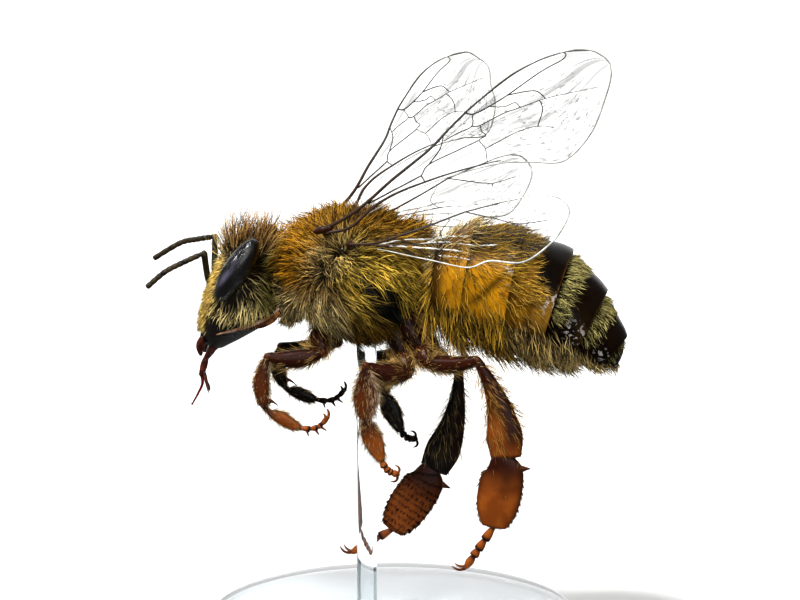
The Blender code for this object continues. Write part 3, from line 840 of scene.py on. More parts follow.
def acrylic_finish():
    """Clear cast acrylic with a flame-polished edge; a trace of cloudiness keeps it from vanishing."""
    made, tree = finish("clear_cast_acrylic", IOR=1.49, Transmission_Weight=1.0)
    own = {0: clouds(tree, 3.0), 6: linear("#F4F8FA"), 7: linear("#E6EEF2")}
    rough = add_node(tree, "MapRange", {"Value": clouds(tree, 0.8), "To Min": 0.02, "To Max": 0.07})
    return dress(made, add_node(tree, "Mix", own, **MIX), Roughness=rough)


# The body's one skin


def thorax_form():
    made = ball((0, 0, 0), (1, 1, 1), power=2.4, around=64, levels=40)
    x, y, z = made.points.T.copy()
    x = np.where(x < 0, x * THORAX_REACH["front"], x * THORAX_REACH["back"])
    share = rise(CHEST_RISE_ENDS[0], CHEST_RISE_ENDS[1], x)
    low = THORAX_REACH["bottom"] * (1 - CHEST_RISE * share)
    z = np.where(z < 0, z * low, z * THORAX_REACH["top"])
    made.points = np.stack([x, y * THORAX_REACH["side"], z], axis=1) + THORAX_MIDDLE
    return made


def head_form():
    rows = curve(HEAD_SHELL, 44)
    turn = 2 * math.pi * np.arange(56) / 56
    c, s = np.cos(turn), np.sin(turn)
    reach = (np.abs(c) ** 2.15 + np.abs(s) ** 2.15) ** (-1 / 2.15)
    rings = np.stack(
        [
            (rows[:, 1] + rows[:, 2])[:, None] / 2 - (rows[:, 2] - rows[:, 1])[:, None] / 2 * s * reach,
            rows[:, 3][:, None] * c * reach,
            rows[:, 0][:, None] + 0 * c,
        ],
        axis=-1,
    )
    return loft(rings)


def skin_zones(points):
    """The coat's colour zones, for skin and hair alike: gold, olive, dark and pale tan."""
    x, y, z = points.T
    gold = rise(0.15, 1.15, z) * rise(-3.4, -2.9, x)
    gold = gold * (1 - 0.72 * rise(-2.3, -1.1, x) + 0.2 * rise(-0.9, 0.0, x))
    gold = np.maximum(gold, rise(-0.5, 0.2, z) * bump(-2.5, 0.8, x))
    olive = rise(-1.7, -1.2, x) * (1 - rise(1.2, 2.2, x)) * (1 - rise(0.75, 1.5, z))
    olive = olive * rise(-0.8, 0.1, z + 0.45 * rise(-0.4, 0.6, x))
    dark = flank_gap(points, 0.0)
    tan = (1 - rise(-2.0, -1.1, x)) * (1 - rise(-0.2, 0.4, z)) * rise(-3.4, -2.8, x) * rise(-1.9, -1.3, z)
    nape = bump(-3.35, 0.75, x) * (1 - rise(0.6, 1.4, z)) * 0.5
    parted = 1 - rise(0.08, 0.45, np.linalg.norm(from_parting(points), axis=1))
    dark = np.maximum(np.maximum(dark, nape), 0.36 * parted)
    return np.stack([gold, olive, dark, np.maximum(0.95 * tan, 0.34 * parted)], axis=1)


def from_parting(points):
    """The ways to points from the parting on their own side of the thorax."""
    side = np.where(points[:, 1:2] < 0, (1, -1, 1), (1, 1, 1))
    start, end = (np.asarray(place) for place in HAIR_PARTING)
    span = end - start
    share = np.clip(dot(points * side - start, span) / dot(span, span), 0, 1)
    return points - (start + share * span) * side


def flank_gap(points, ahead):
    """1 in the dark, thinly haired patch low behind each flank's middle; ahead moves it upstream."""
    x = points[:, 0] + 0.16 + 0.45 * ahead
    z = points[:, 2] + 0.24 - 0.55 * ahead
    reach = np.hypot((0.88 * x - 0.47 * z) / 1.3, (0.47 * x + 0.88 * z) / 0.62)
    return (1 - rise(0.5, 1.1, reach)) * rise(0.6, 1.2, np.abs(points[:, 1]))


def build_skin():
    """Head, neck, thorax and waist under one skin, by a fine remesh of their joined forms."""
    forms = [
        thorax_form(),
        head_form(),
        ball(*SCUTELLUM, around=32, levels=20),
        ball(*WAIST, around=24, levels=16),
        ball(*NECK, around=32, levels=20),
        ball(*LABRUM, lean=0.25, power=2.6, around=32, levels=20),
    ]
    rough = bpy.data.objects.new("rough_skin", mesh_of("rough_skin", joined(forms), places=np.array))
    bpy.context.scene.collection.objects.link(rough)
    skin = rough.modifiers.new("one_skin", "REMESH")
    skin.mode = "VOXEL"
    skin.voxel_size = 0.05
    soft = rough.modifiers.new("soft_joins", "SMOOTH")
    soft.factor = 0.5
    soft.iterations = 6
    graph = bpy.context.evaluated_depsgraph_get()
    data = bpy.data.meshes.new_from_object(rough.evaluated_get(graph))
    bpy.data.objects.remove(rough)
    data.transform(Matrix.Scale(MM, 4) @ Matrix.Translation((0, 0, BEE_HEIGHT)))
    piece("body_skin", data, cuticle_finish(), ("head", "thorax", "waist"))
    zones = skin_zones(shape_of("body_skin").points)
    made = data.attributes.new("zones", "FLOAT_COLOR", "POINT")
    made.data.foreach_set("color", zones.ravel().astype(np.float32))
    data.shade_smooth()


# Eyes, feelers and mouth


def build_eyes():
    look = eye_finish()
    for side, sign in SIDES:
        x, y, z = EYE_AT
        shape = ball((x, sign * y, z), EYE_HALF, EYE_LEAN, around=64, levels=48)
        across, up = in_eye(shape.points - (x, sign * y, z))
        # Painted reflection: a grey-blue sheen painted in a band down the front of the eye
        shape.marks["sheen"] = bump(-0.35 + 0.3 * up, 0.38, across) * bump(-0.15, 0.75, up)
        piece("compound_eye_" + side, shape, look, ("eye_" + side,))
    clear = horn_finish("ocellus_lens", "eye", "vein_root", 0.08)
    piece("ocelli", joined(ball(spot, 0.12, around=20, levels=14) for spot in OCELLI), clear)


def build_feelers():
    look = horn_finish("feeler_cuticle", "feeler", "feeler_light", 0.4, 0.3)
    for side, points in FEELERS.items():
        foot, elbow, bend, tip = (np.asarray(point) for point in points)
        shaft = [foot, foot * 0.7 + elbow * 0.3 + (-0.03, 0, 0), elbow]
        parts = [tube(shaft, (0.075, 0.095, 0.095, 0.1), around=14, steps=20)]
        parts.append(ball(foot, (0.11, 0.12, 0.11), around=20, levels=14))
        piece("feeler_shaft_" + side, joined(parts), look, ("antenna_%s_scape" % side,))
        line = curve([elbow, elbow * 0.5 + bend * 0.5 + (0, 0, 0.02), bend, tip], 200)
        steps = np.linspace(0, 199, FEELER_JOINTS + 2).astype(int)
        parts = [ball(elbow, 0.085)]
        for first, last in zip(steps, steps[1:]):
            run = line[first : last + 1]
            run = run[:: max(1, len(run) // 5)]
            thick = 0.072 if first == 0 else 0.088
            wide = (thick * 0.86, thick, thick, thick * 0.86)
            parts.append(tube(run, wide, around=14, steps=7, blunt=0.25))
        piece("feeler_whip_" + side, joined(parts), look, ("antenna_%s_flagellum" % side,))


def build_mouth():
    brown = horn_finish("mouth_cuticle", "jaw", "jaw_light", 0.25, 0.2)
    red = horn_finish("tongue_cuticle", "tongue", "jaw", 0.35, 0.15)
    for side, sign in SIDES:
        blade = [(-5.66, sign * 0.36, -1.72), (-5.74, sign * 0.34, -1.98), (-5.75, sign * 0.26, -2.3)]
        parts = [tube(blade, (0.08, 0.12, 0.12, 0.05), (0.07, 0.09, 0.07, 0.03), steps=16)]
        lobe = [(-5.36, sign * 0.3, -1.86), (-5.38, sign * 0.26, -2.06), (-5.52, sign * 0.12, -2.26)]
        parts.append(tube(lobe, (0.08, 0.13, 0.05), (0.05, 0.07, 0.03), around=14, steps=14))
        piece("jaw_" + side, joined(parts), brown, ("mandible_" + side,))
    base = [(-5.4, 0, -2.02), (-5.5, 0, -2.22), (-5.62, 0, -2.4)]
    base = tube(base, (0.14, 0.12, 0.09), (0.16, 0.14, 0.1), steps=12)
    piece("mouth_folded_base", base, brown, ("mouth_base",))
    sheath = [(-5.62, 0, -2.36), (-5.7, 0, -2.62), (-5.79, 0, -2.96)]
    lobes = [tube(sheath, (0.07, 0.11, 0.085), (0.07, 0.11, 0.09), steps=16)]
    for sign in (-1, 1):
        palp = [(-5.76, sign * 0.05, -2.72), (-5.68, sign * 0.07, -2.96), (-5.64, sign * 0.09, -3.16)]
        lobes.append(tube(palp, (0.03, 0.038, 0.03), around=10, steps=10))
        tip = [(-5.64, sign * 0.09, -3.16), (-5.58, sign * 0.11, -3.32), (-5.56, sign * 0.12, -3.46)]
        lobes.append(tube(tip, (0.028, 0.034, 0.014), around=10, steps=8))
    piece("tongue_sheath_lobes", joined(lobes), brown, ("tongue_sheath",))
    line = [(-5.79, 0, -2.92), (-5.76, 0, -3.2), (-5.9, 0, -3.52), (-6.08, 0, -3.84)]
    parts = [tube(line, (0.05, 0.045, 0.038, 0.025), around=12, steps=40)]
    parts.append(ball(line[-1], (0.04, 0.03, 0.04), around=12, levels=8))
    piece("tongue_glossa", joined(parts), red, ("tongue",))
    build_cheek_margins()


def on_skin(x, z, sign, least):
    """The skin's surface on one side of the bee at this place along it and this height."""
    skin = bpy.data.objects["body_skin"]
    start = Vector(in_row(np.array((x, sign * 4.0, z))))
    hit, place, _, _ = skin.ray_cast(start, Vector((0, -sign, 0)))
    aside = abs(place[1]) / MM if hit else least
    return np.array((x, sign * max(aside, least), z))


def build_cheek_margins():
    """The pale joint strip and the brown rim along the lower rear edge of the head."""
    for name, line, half, look in (
        ("cheek_margin", CHEEK_LINE, 0.06, ("pale_joint_cuticle", "margin_pale", "margin")),
        ("cheek_rim", CHEEK_RIM, 0.1, ("rim_cuticle", "margin", "leg")),
    ):
        parts = []
        for _, sign in SIDES:
            path = [on_skin(x, z, sign, 0.82) + (0, sign * 0.03, 0) for x, z in line]
            wide = (half * 0.3, half, half, half * 0.7)
            parts.append(tube(path, wide, (0.03, 0.05, 0.05, 0.04), around=12, steps=30))
        piece(name, joined(parts), horn_finish(*look, 0.35))


# The abdomen


def abdomen_rows(t):
    """The outline's five numbers at places along the abdomen, by plate count."""
    dense = curve(ABDOMEN_EDGES, 241)
    place = np.clip(np.asarray(t, float), 0, 6) * 40
    low = np.minimum(place.astype(int), 239)
    share = (place - low)[..., None]
    return dense[low] * (1 - share) + dense[low + 1] * share


def abdomen_points(t, turn, inset):
    """Points of the abdomen at places along it and turns from its top, set in by inset."""
    row = abdomen_rows(t)
    top = np.stack([row[..., 0], 0 * row[..., 0], row[..., 1]], axis=-1)
    under = np.stack([row[..., 2], 0 * row[..., 0], row[..., 3]], axis=-1)
    up = (top - under) / 2
    tall = np.linalg.norm(up, axis=-1)
    c, s = np.cos(turn), np.sin(turn)
    return (
        (top + under) / 2
        + up * (c * (1 - inset / tall))[..., None]
        + ASIDE * (s * np.maximum(row[..., 4] - inset, 0.02))[..., None]
    )


def plate_zones(plate, share, turn):
    """A plate's colour zones: amber, tan and black, and how much wax it carries."""
    away = np.abs(turn)
    top = 1 - rise(0.5, 1.1, away)
    low = rise(1.7, 2.2, away)
    side = rise(0.55, 1.0, away) * (1 - rise(1.85, 2.25, away))
    amber = tan = wax = 0.0
    if plate == 0:
        amber = rise(0.1, 0.5, share) * (1 - low) * (0.25 + 0.75 * rise(0.6, 1.1, away))
        tan = 0.2 * side
        black = 0.5 * (1 - rise(0.0, 0.4, share))
        black = black + 0.7 * bump(0.72, 0.2, share) * bump(0.95, 0.4, away)
    elif plate == 1:
        amber = (1 - low) * (0.25 * top + rise(0.4, 0.75, away))
        slant = share - (1.95 - away)
        black = 0.85 * bump(0, 0.2, slant) * rise(0.9, 1.1, away) * (1 - rise(1.6, 1.8, away))
        black = black + 0.9 * (1 - rise(0.7, 1.15, away))
        black = black + 0.5 * rise(0.86, 0.97, share) * (1 - rise(0.9, 1.2, away))
        wax = 0.8 * rise(0.72, 0.9, share) * bump(0.95, 0.5, away)
    elif plate == 2:
        amber = 0.4 * side * (1 - rise(0.35, 0.6, share))
        tan = 0.9 * rise(0.45, 0.65, share) * bump(1.5, 0.48, away)
        black = 0.95 * rise(0.35, 0.55, share) * (1 - rise(1.05, 1.3, away))
        black = black * (1 - 0.45 * rise(0.9, 1.0, share))
        black = np.maximum(black, 0.8 * (1 - rise(0.4, 0.8, away)))
        wax = 0.8 * rise(0.6, 0.85, share) * bump(1.3, 0.3, away)
    else:
        tan = 0.45 * rise(0.6, 0.9, share) * bump(1.45, 0.5, away) * (plate == 3)
        black = 0.85 * (1 - low * 0.4)
        wax = 0.7 * rise(0.35, 0.6, share) * bump(1.55, 0.35, away)
    rim = rise(0.965, 0.985, share) * (1 - low)
    tan = np.maximum(tan, 0.5 * rim)
    stack = np.clip(np.stack(np.broadcast_arrays(amber, tan, black, 0.0), axis=-1), 0, 1)
    stack[..., 2] *= 1 - 0.6 * rim
    return stack, wax


def plate_inset(plate, share, turn):
    """How deep a plate lies under the coat's outline: deepest in front, out at its rear edge."""
    away = np.abs(turn)
    depth = 0.19 * (1 - rise(0.0, 1.0, share)) + 0.01
    if plate == 0:
        depth = depth + 0.14 * (1 - rise(0.5, 1.0, share))
    lower = rise(PLATE_SPLIT - 0.02, PLATE_SPLIT + 0.05, away)
    return depth + 0.07 * lower + 0.12 * rise(1.9, 2.6, away)


def plate_shape(plate, around=128):
    """One plate ring: its outside, its rear rim and a recess that the next plate slips into."""
    turn = -math.pi + 2 * math.pi * np.arange(around) / around
    front = np.array([-0.1, 0.0]) if plate else np.array([0.0])
    share = np.concatenate([front, np.linspace(0.06, 1.0, 26)])[:, None]
    inset = plate_inset(plate, np.clip(share, 0, 1), turn[None])
    inset = inset + 0.1 * (share < 0)
    place = plate + np.clip(share, -0.1, 0.985)
    rings = abdomen_points(place + 0 * turn, turn + 0 * share, inset)
    recess = ((0.99, 0.03), (0.985, 0.07), (0.9, 0.1), (0.7, 0.14))
    closing = ((0.99912, 0.06), (0.99935, 0.175), (0.9996, 0.3))
    edge = plate_inset(plate, np.ones((1, 1)), turn[None])
    within = [
        abdomen_points(np.full((1, len(turn)), plate + back), turn[None], edge + depth)
        for back, depth in (closing if plate == 5 else recess)
    ]
    if plate == 0:
        cap = []
        for scale, shift in ((0.35, -0.2), (0.7, -0.14), (0.9, -0.05)):
            ring = rings[0] - rings[0].mean(0)
            cap.append((rings[0].mean(0) + ring * scale + (shift, 0, 0))[None])
        rings = np.concatenate([*cap, rings])
        share = np.concatenate([np.zeros((3, 1)), share])
    every = np.concatenate([rings, *within])
    shares = np.concatenate([share, np.ones((len(within), 1))])
    zones, wax = plate_zones(plate, np.clip(shares, 0, 1), turn[None] + 0 * shares)
    return loft(
        every,
        zones=zones,
        wax=wax + 0 * zones[..., 0],
        share=shares + 0 * turn,
        turn_at=turn + 0 * shares,
    )


def build_abdomen():
    look = plate_finish()
    for plate in range(6):
        name = "abdomen_%d" % (plate + 1)
        piece(name + "_plates", plate_shape(plate), look, (name,))


# The legs


def leg_line(start, end, bow):
    """Points from joint to joint, with the middle bowed out in the leg's own plane."""
    start, end = np.asarray(start), np.asarray(end)
    chord = end - start
    across = unit(np.cross(chord, ASIDE))
    share = np.linspace(0, 1, 7)[:, None]
    return start + chord * share + across * (bow * np.sin(math.pi * share))


def leg_length(leg, kind, name):
    """One length of a leg, with marks for the painted shade of its inner face, its dark joints, and the
    painted shade along its edges.
    """
    order = ("hip", "femur", "tibia", "basitarsus")
    index = order.index(name)
    joints = LEG_JOINTS[leg]
    wide, thick, bow = LEG_FORMS[kind][name]
    line = curve(leg_line(joints[index], joints[index + 1], bow), 34)
    if (kind, name) in LEG_SHIFTS:
        across = unit(np.cross(np.subtract(joints[index + 1], joints[index]), ASIDE))
        line = line + across * curve(LEG_SHIFTS[kind, name], 34)[:, None]
    made = tube(line, wide, thick, around=28, power=2.2, steps=34)
    sign = -1 if leg.endswith("left") else 1
    # Painted shade: the faces turned to the body are painted nearly black, as they lie in shade
    inside = 1 - rise(-0.55, 0.25, made.normals()[:, 1] * sign)
    share = made.marks["share"]
    across = np.cos(2 * math.pi * made.marks["turn"])
    first = 0.05 if (kind, name) == ("hind", "basitarsus") else 0.14
    joint = np.maximum(1 - rise(0.0, first, share), rise(0.93, 1.0, share)) * 0.85
    # Painted shade: the leg darkens towards its two edges, where its sides turn from the light
    joint = np.maximum(joint, 0.6 * rise(0.72, 0.98, np.abs(across)))
    glow = LEG_GLOW.get((kind, name), 0.0) * rise(0.1, 0.7, share)
    if (kind, name) == ("hind", "tibia"):
        dark_rear = 0.9 * rise(-0.15, 0.45, across) * (1 - rise(0.75, 0.95, share))
        glow = 0.6 * rise(0.25, 0.8, share) * (1 - dark_rear)
        joint = np.maximum(joint, 0.8 * dark_rear)
    # Painted shade: a soft dark stripe down the hind long foot joint, the shade of a shallow fold
    if (kind, name) == ("hind", "basitarsus"):
        painted_fold_shade = 0.38 * bump(0.22, 0.35, across) * (1 - rise(0.4, 0.8, share)) * (1 - inside)
        joint = np.maximum(joint, painted_fold_shade)
    return with_marks(made, inside, joint, glow)


def with_marks(shape, inside, joint, glow=0.3):
    """The shape, marked with how far each point takes the painted shade of an inner face, the dark of a joint
    or of painted shade, and how far it grows lighter.
    """
    whole = np.zeros(len(shape.points))
    shape.marks.update(inside=whole + inside, joint=whole + joint, glow=whole + glow)
    return shape


def leg_extras(leg, kind):
    """Spurs, the auricle, the feeler cleaner and the trochanter."""
    joints = [np.asarray(point) for point in LEG_JOINTS[leg]]
    down = unit(joints[3] - joints[2])
    foot = unit(joints[4] - joints[3])
    rear = unit(np.cross(foot, ASIDE))
    sign = -1 if leg.endswith("left") else 1
    parts = [ball(joints[1], (0.19, 0.18, 0.19), around=20, levels=14), ball(joints[2], 0.12)]
    if kind == "fore":
        parts.append(ball(joints[3], (0.1, 0.09, 0.1)))
        spur = joints[3] - down * 0.14 + (0.1, 0, 0)
        parts.append(spike(spur, (0.9, 0, -0.15), 0.34, 0.06, (0.0, 0, -0.14)))
        parts.append(spike(joints[3] + foot * 0.06 + rear * 0.06, rear + foot * 0.5, 0.18, 0.06, foot * 0.05))
    elif kind == "mid":
        parts.append(ball(joints[3], 0.09))
        parts.append(spike(joints[3] - down * 0.05 + (0.08, 0, 0), down + (0.5, -sign * 0.3, 0), 0.26, 0.03))
    else:
        neck = joints[3] - rear * 0.22 + foot * 0.02
        parts.append(ball(neck, (0.15, 0.1, 0.11)))
        flange = ((0.28, 0.0), (0.26, 0.42), (0.2, 0.74))
        flange = [joints[3] + foot * ahead + rear * back for ahead, back in flange]
        parts.append(tube(flange, (0.17, 0.12, 0.02), (0.1, 0.07, 0.02), around=14, steps=12))
        across = unit(np.cross(down, ASIDE))
        for step in np.linspace(-0.42, 0.46, 14):
            tooth = joints[3] + across * step - down * 0.02
            parts.append(spike(tooth, down + across * 0.25, 0.13, 0.02, steps=4, around=6))
    return [with_marks(part, 0.0, 0.5) for part in parts]


def leg_root(leg, kind):
    """The root that joins a leg's hip to the body, painted near black as the shade under the body."""
    hip = np.asarray(LEG_JOINTS[leg][0])
    within = hip + unit(np.array((0.55 * hip[0] - 0.4, 0.5 * hip[1], -0.3)) - hip) * 1.15
    wide = {"fore": 0.26, "mid": 0.32, "hind": 0.38}[kind]
    path = [within, (within + hip) / 2, hip + (0, 0, 0.05)]
    # Painted shade: the root takes the full inner shade and most of the joints' dark
    return with_marks(tube(path, (wide * 0.8, wide, 0.22), around=24, steps=16), 1.0, 0.85, 0.0)


def bell(start, end, wide, mouth):
    """A small foot joint that widens to its end."""
    half = (wide * 0.55, wide * 0.75, wide, mouth)
    thick = (wide * 0.5, wide * 0.7, wide * 0.85, mouth * 0.9)
    return tube(np.linspace(start, end, 5), half, thick, around=14, steps=12, blunt=0.2)


def foot_shapes(leg, kind):
    """The small foot joints, with a dark ring painted at each end as the shadow where one joint sits in the
    next, and the claws apart from them.
    """
    start, end = (np.asarray(point) for point in LEG_JOINTS[leg][4:6])
    line = curve(leg_line(start, end, FOOT_BOW[kind]), 101)
    size = {"fore": 0.092, "mid": 0.115, "hind": 0.135}[kind]
    parts = []
    for first, last in zip(FOOT_JOINTS, FOOT_JOINTS[1:]):
        a, b = line[int(first * 92)], line[int(last * 92)]
        final = last == 1.0
        if final:
            joint = tube([a, (a + b) / 2, b], (size * 0.5, size * 0.95, size * 0.55), around=14, steps=14)
        else:
            joint = bell(a, a + (b - a) * 1.04, size, size * 1.05)
        share = joint.marks["share"]
        # Painted shadow: a dark ring at each end of a joint, where it sits in the next
        ring = np.maximum(rise(0.62, 0.85, share) * (not final), 1 - rise(0.1, 0.4, share))
        parts.append(with_marks(joint, 0.0, ring, 0.8))
        if not final:
            under = unit(np.cross(ASIDE, b - a)) * (1 if kind == "fore" else 0.4)
            reach = 0.2 if kind == "fore" else 0.1
            for turn in (-1, 1):
                corner = b - (b - a) * 0.22 + under * size * 0.5
                thorn = spike(corner, under + unit(b - a) * 0.45 + ASIDE * turn * 0.25, reach, size * 0.5)
                parts.append(with_marks(thorn, 0.0, 0.3, 0.6))
            corner = b - (b - a) * 0.15 - under * size * 0.4
            thorn = spike(corner, unit(b - a) - under * 0.7, 0.09, size * 0.4)
            parts.append(with_marks(thorn, 0.0, 0.3, 0.6))
    way = unit(line[90] - line[76])
    claws = []
    hook = unit(np.cross(way, ASIDE)) * (-1 if kind != "fore" else 1)
    for turn in (-1, 1):
        if kind == "mid":
            start, out, back = line[88], way * 0.25 + hook * turn, -1.0 * way
        elif kind == "fore":
            start, out, back = line[88 + 6 * turn], way * 0.7 + hook * 0.5, hook * 0.6
        else:
            start, out, back = line[90] + way * 0.08 * turn, way * 0.8 + hook * 0.6, hook * 0.9 - way * 0.2
        size = 0.7 if kind == "fore" else 1.0
        start = start + ASIDE * turn * 0.05
        bends = ((0.0, 0.0), (0.15, 0.0), (0.24, 0.08), (0.27, 0.2))
        path = [start + (out * ahead + back * curl) * size for ahead, curl in bends]
        claws.append(tube(path, (0.05, 0.042, 0.034, 0.012), around=10, steps=14))
    claws.append(ball(line[90], (0.07, 0.08, 0.07), around=12, levels=8))
    return joined(parts), joined(with_marks(part, 0.0, 0.45, 0.8) for part in claws)


def build_legs():
    look = leg_finish("chestnut_leg_cuticle")
    foot_look = leg_finish("foot_cuticle")
    for leg in LEG_JOINTS:
        kind = leg.split("_")[0]
        lengths = [leg_length(leg, kind, name) for name in ("hip", "femur", "tibia")]
        nodes = ["leg_%s_%s" % (leg, name) for name in ("hip", "femur", "tibia")]
        shape = joined(lengths + leg_extras(leg, kind) + [leg_root(leg, kind)])
        piece("leg_%s_shell" % leg, shape, look, nodes)
        long_joint = leg_length(leg, kind, "basitarsus")
        if kind == "hind":
            long_joint.marks["inside"] *= 0.1
        piece("leg_%s_long_joint" % leg, long_joint, foot_look, ("leg_%s_basitarsus" % leg,))
        joints, claws = foot_shapes(leg, kind)
        for part in (joints, claws):
            # Painted shade: the far fore and mid feet are painted wholly in the inner shade, as they lie in
            # shade
            if leg.endswith("right") and kind != "hind":
                part.marks["inside"] += 1.0
        piece("foot_" + leg, joints, foot_look, ("leg_%s_foot" % leg,))
        piece("claws_" + leg, claws, foot_look)
    for side, sign in SIDES:
        root = np.asarray(WINGS["forewing_" + side][0])
        front, rear = root + (-0.1, -sign * 0.04, -0.01), root + (0.1, -sign * 0.02, 0.04)
        shell = ball(front, (0.27, 0.12, 0.11), lean=-0.3, around=24, levels=16)
        knuckle = ball(rear, (0.16, 0.1, 0.1), lean=-0.5, around=20, levels=14)
        hinges = []
        for wing in ("forewing_", "hindwing_"):
            foot = np.asarray(WINGS[wing + side][0])
            within = foot + np.array((-0.15, -sign * 1.1, -0.2))
            hinges.append(tube([within, (within + foot) / 2, foot], (0.2, 0.13, 0.08), side=UP, steps=12))
        caps = [with_marks(part, 0.45, 0.65, 0.2) for part in (shell, knuckle, *hinges)]
        piece("wing_root_cap_" + side, joined(caps), look, ("tegula_" + side,))


# The wings


def wing_frame(name):
    root, along, across = (np.asarray(value, float) for value in WINGS[name])
    along = unit(along)
    across = unit(across - along * np.dot(across, along))
    return root, along, across, np.cross(along, across)


def wing_height(x, y, hind):
    """The pleats and the slight arch of a wing, above its plane."""
    pleats = 0.035 * np.sin(7.5 * y + 0.25 * x) * rise(0.3, 1.5, x)
    return pleats + 0.1 * np.sin(math.pi * np.clip(x / (6.7 if hind else 9.6), 0, 1)) * (1 - (y / 1.6) ** 2)


def in_wing(name, x, y, lifted=0.0):
    root, along, across, facing = wing_frame(name)
    x, y = np.asarray(x, float)[..., None], np.asarray(y, float)[..., None]
    height = wing_height(x, y, "hind" in name) + lifted
    return root + along * x + across * y + facing * height


def wing_edges(name):
    front, rear = HINDWING_EDGES if "hind" in name else FOREWING_EDGES
    return curve(front, 400), curve(rear, 400)


def membrane_shape(name):
    """A thin closed sheet inside the wing's outline, marked with the place along and across it."""
    front, rear = wing_edges(name)
    length = front[-1, 0]
    share = (1 - np.cos(np.linspace(0.02, math.pi * 0.995, 110))) / 2
    x = share * length
    low, high = np.interp(x, front[:, 0], front[:, 1]), np.interp(x, rear[:, 0], rear[:, 1])
    across = (1 - np.cos(np.linspace(0, math.pi, 30))) / 2
    y = low[:, None] + (high - low)[:, None] * across[None]
    x = x[:, None] + 0 * y
    across = across[None] + 0 * y
    top = in_wing(name, x, y, MEMBRANE_THICK / 2)
    under = in_wing(name, x, y, -MEMBRANE_THICK / 2)
    smoke = rise(0.6, 2.0, x) * (1 - 0.6 * rise(0.55, 0.95, across))
    marks = {
        "smoke": smoke * (0.25 if name == "hindwing_left" else 1.0),
        "outer": rise(0.35, 0.7, x / length) * rise(0.1, 0.3, across) * (1 - rise(0.9, 0.97, x / length)),
        "wing_out": x,
        "wing_across": across,
    }
    marks = {mark: np.concatenate([values, values[:, ::-1]], axis=1) for mark, values in marks.items()}
    return loft(np.concatenate([top, under[:, ::-1]], axis=1), **marks)


def rim_shape(name):
    """The fine thickened edge that runs round a wing beyond its root."""
    front, rear = wing_edges(name)
    length = front[-1, 0]
    half = 0.027 if "hind" in name else 0.025
    back = rear[::-1]
    ring = np.vstack([front[front[:, 0] > 0.5 * length], back[back[:, 0] > 0.12 * length]])[::6]
    line = in_wing(name, ring[:, 0], ring[:, 1])
    wide = (half * 0.4, half, half, half, half * 0.4)
    return tube(line, wide, side=wing_frame(name)[3], around=6, steps=2 * len(ring))


def vein_shape(name):
    """The veins as raised tubes through the membrane, thickest at the wing's root."""
    facing = wing_frame(name)[3]
    length = 6.66 if "hind" in name else 9.58
    parts = []
    for points, start, end in HINDWING_VEINS if "hind" in name else FOREWING_VEINS:
        half = np.linspace(start, end, 4) * 0.86
        steps = 10 + 6 * len(points)
        flat = curve(points, steps)
        line = in_wing(name, flat[:, 0], flat[:, 1])
        made = tube(line, half, half * 0.9, side=facing, around=8, steps=steps)
        made.marks["out"] = np.interp(made.marks["share"], np.linspace(0, 1, steps), flat[:, 0]) / length
        parts.append(made)
    if "hind" in name:
        _, along, across, up = wing_frame(name)
        for x in np.linspace(*HOOK_SPAN, 16):
            foot = in_wing(name, x, np.interp(x, [3.58, 4.68, 5.2], [-0.37, -0.46, -0.48]))
            hook = spike(foot, -across + 0.5 * along, 0.1, 0.01, up * 0.05, around=6, steps=5)
            hook.marks["out"] = np.full(len(hook.points), 0.6)
            parts.append(hook)
    return joined(parts)


def crease_glint_shape(name):
    """Painted highlights: pale lines along the creases on the outer face of the hind wing, broken into runs
    like glints that come and go.
    """
    facing = wing_frame(name)[3]
    rng = np.random.default_rng(7)
    parts = []
    for points, start, end in HINDWING_CREASE_GLINTS:
        flat = curve(points, 81)
        first = 0
        while first < 70:
            last = min(80, first + int(rng.integers(7, 26)))
            run = flat[first : last + 1]
            line = in_wing(name, run[:, 0], run[:, 1] + rng.normal(0, 0.006, len(run)), 0.01)
            wide = rng.uniform(end, start, 6) * (0.4, 1.0, 0.6, 1.2, 0.8, 0.3)
            parts.append(tube(line, wide, side=facing, around=6, steps=len(run)))
            first = last + int(rng.integers(2, 6))
    return joined(parts)


def build_wings():
    film = membrane_finish()
    tubes = vein_finish()
    pale = horn_finish("painted_crease_glint", "crease", "wing_rim", 0.3)
    edge = horn_finish("wing_rim_chitin", "wing_rim", "rim_shade", 0.4)
    bright = horn_finish("pale_wing_rim_chitin", "crease", "wing_rim", 0.4)
    for name in WINGS:
        piece(name + "_membrane", membrane_shape(name), film, ("wing_" + name,))
        piece(name + "_veins", vein_shape(name), tubes)
        # Painted reflection: the near hind wing's rim takes the pale glint colour
        piece(name + "_rim", rim_shape(name), bright if name == "hindwing_left" else edge)
        if "hind" in name:
            piece(name + "_creases", crease_glint_shape(name), pale)


# The coat


def thorax_lie(points):
    """Away from the whorl on each side, drooping behind it and below it."""
    away = unit(from_parting(points))
    low = 1 - rise(0.5, 1.4, points[:, 2])
    behind = (0.85 * rise(-1.2, 0.4, points[:, 0]) * low)[:, None]
    under = (0.6 * (1 - rise(-1.5, -0.6, points[:, 2])))[:, None]
    lie = away * (1 - behind) + np.array((0.35, 0, -0.94)) * behind
    lie = lie + under * np.array((0.6, 0, -0.5))
    return unit(lie) + 0.42 * wander(points, 0.7, 5)


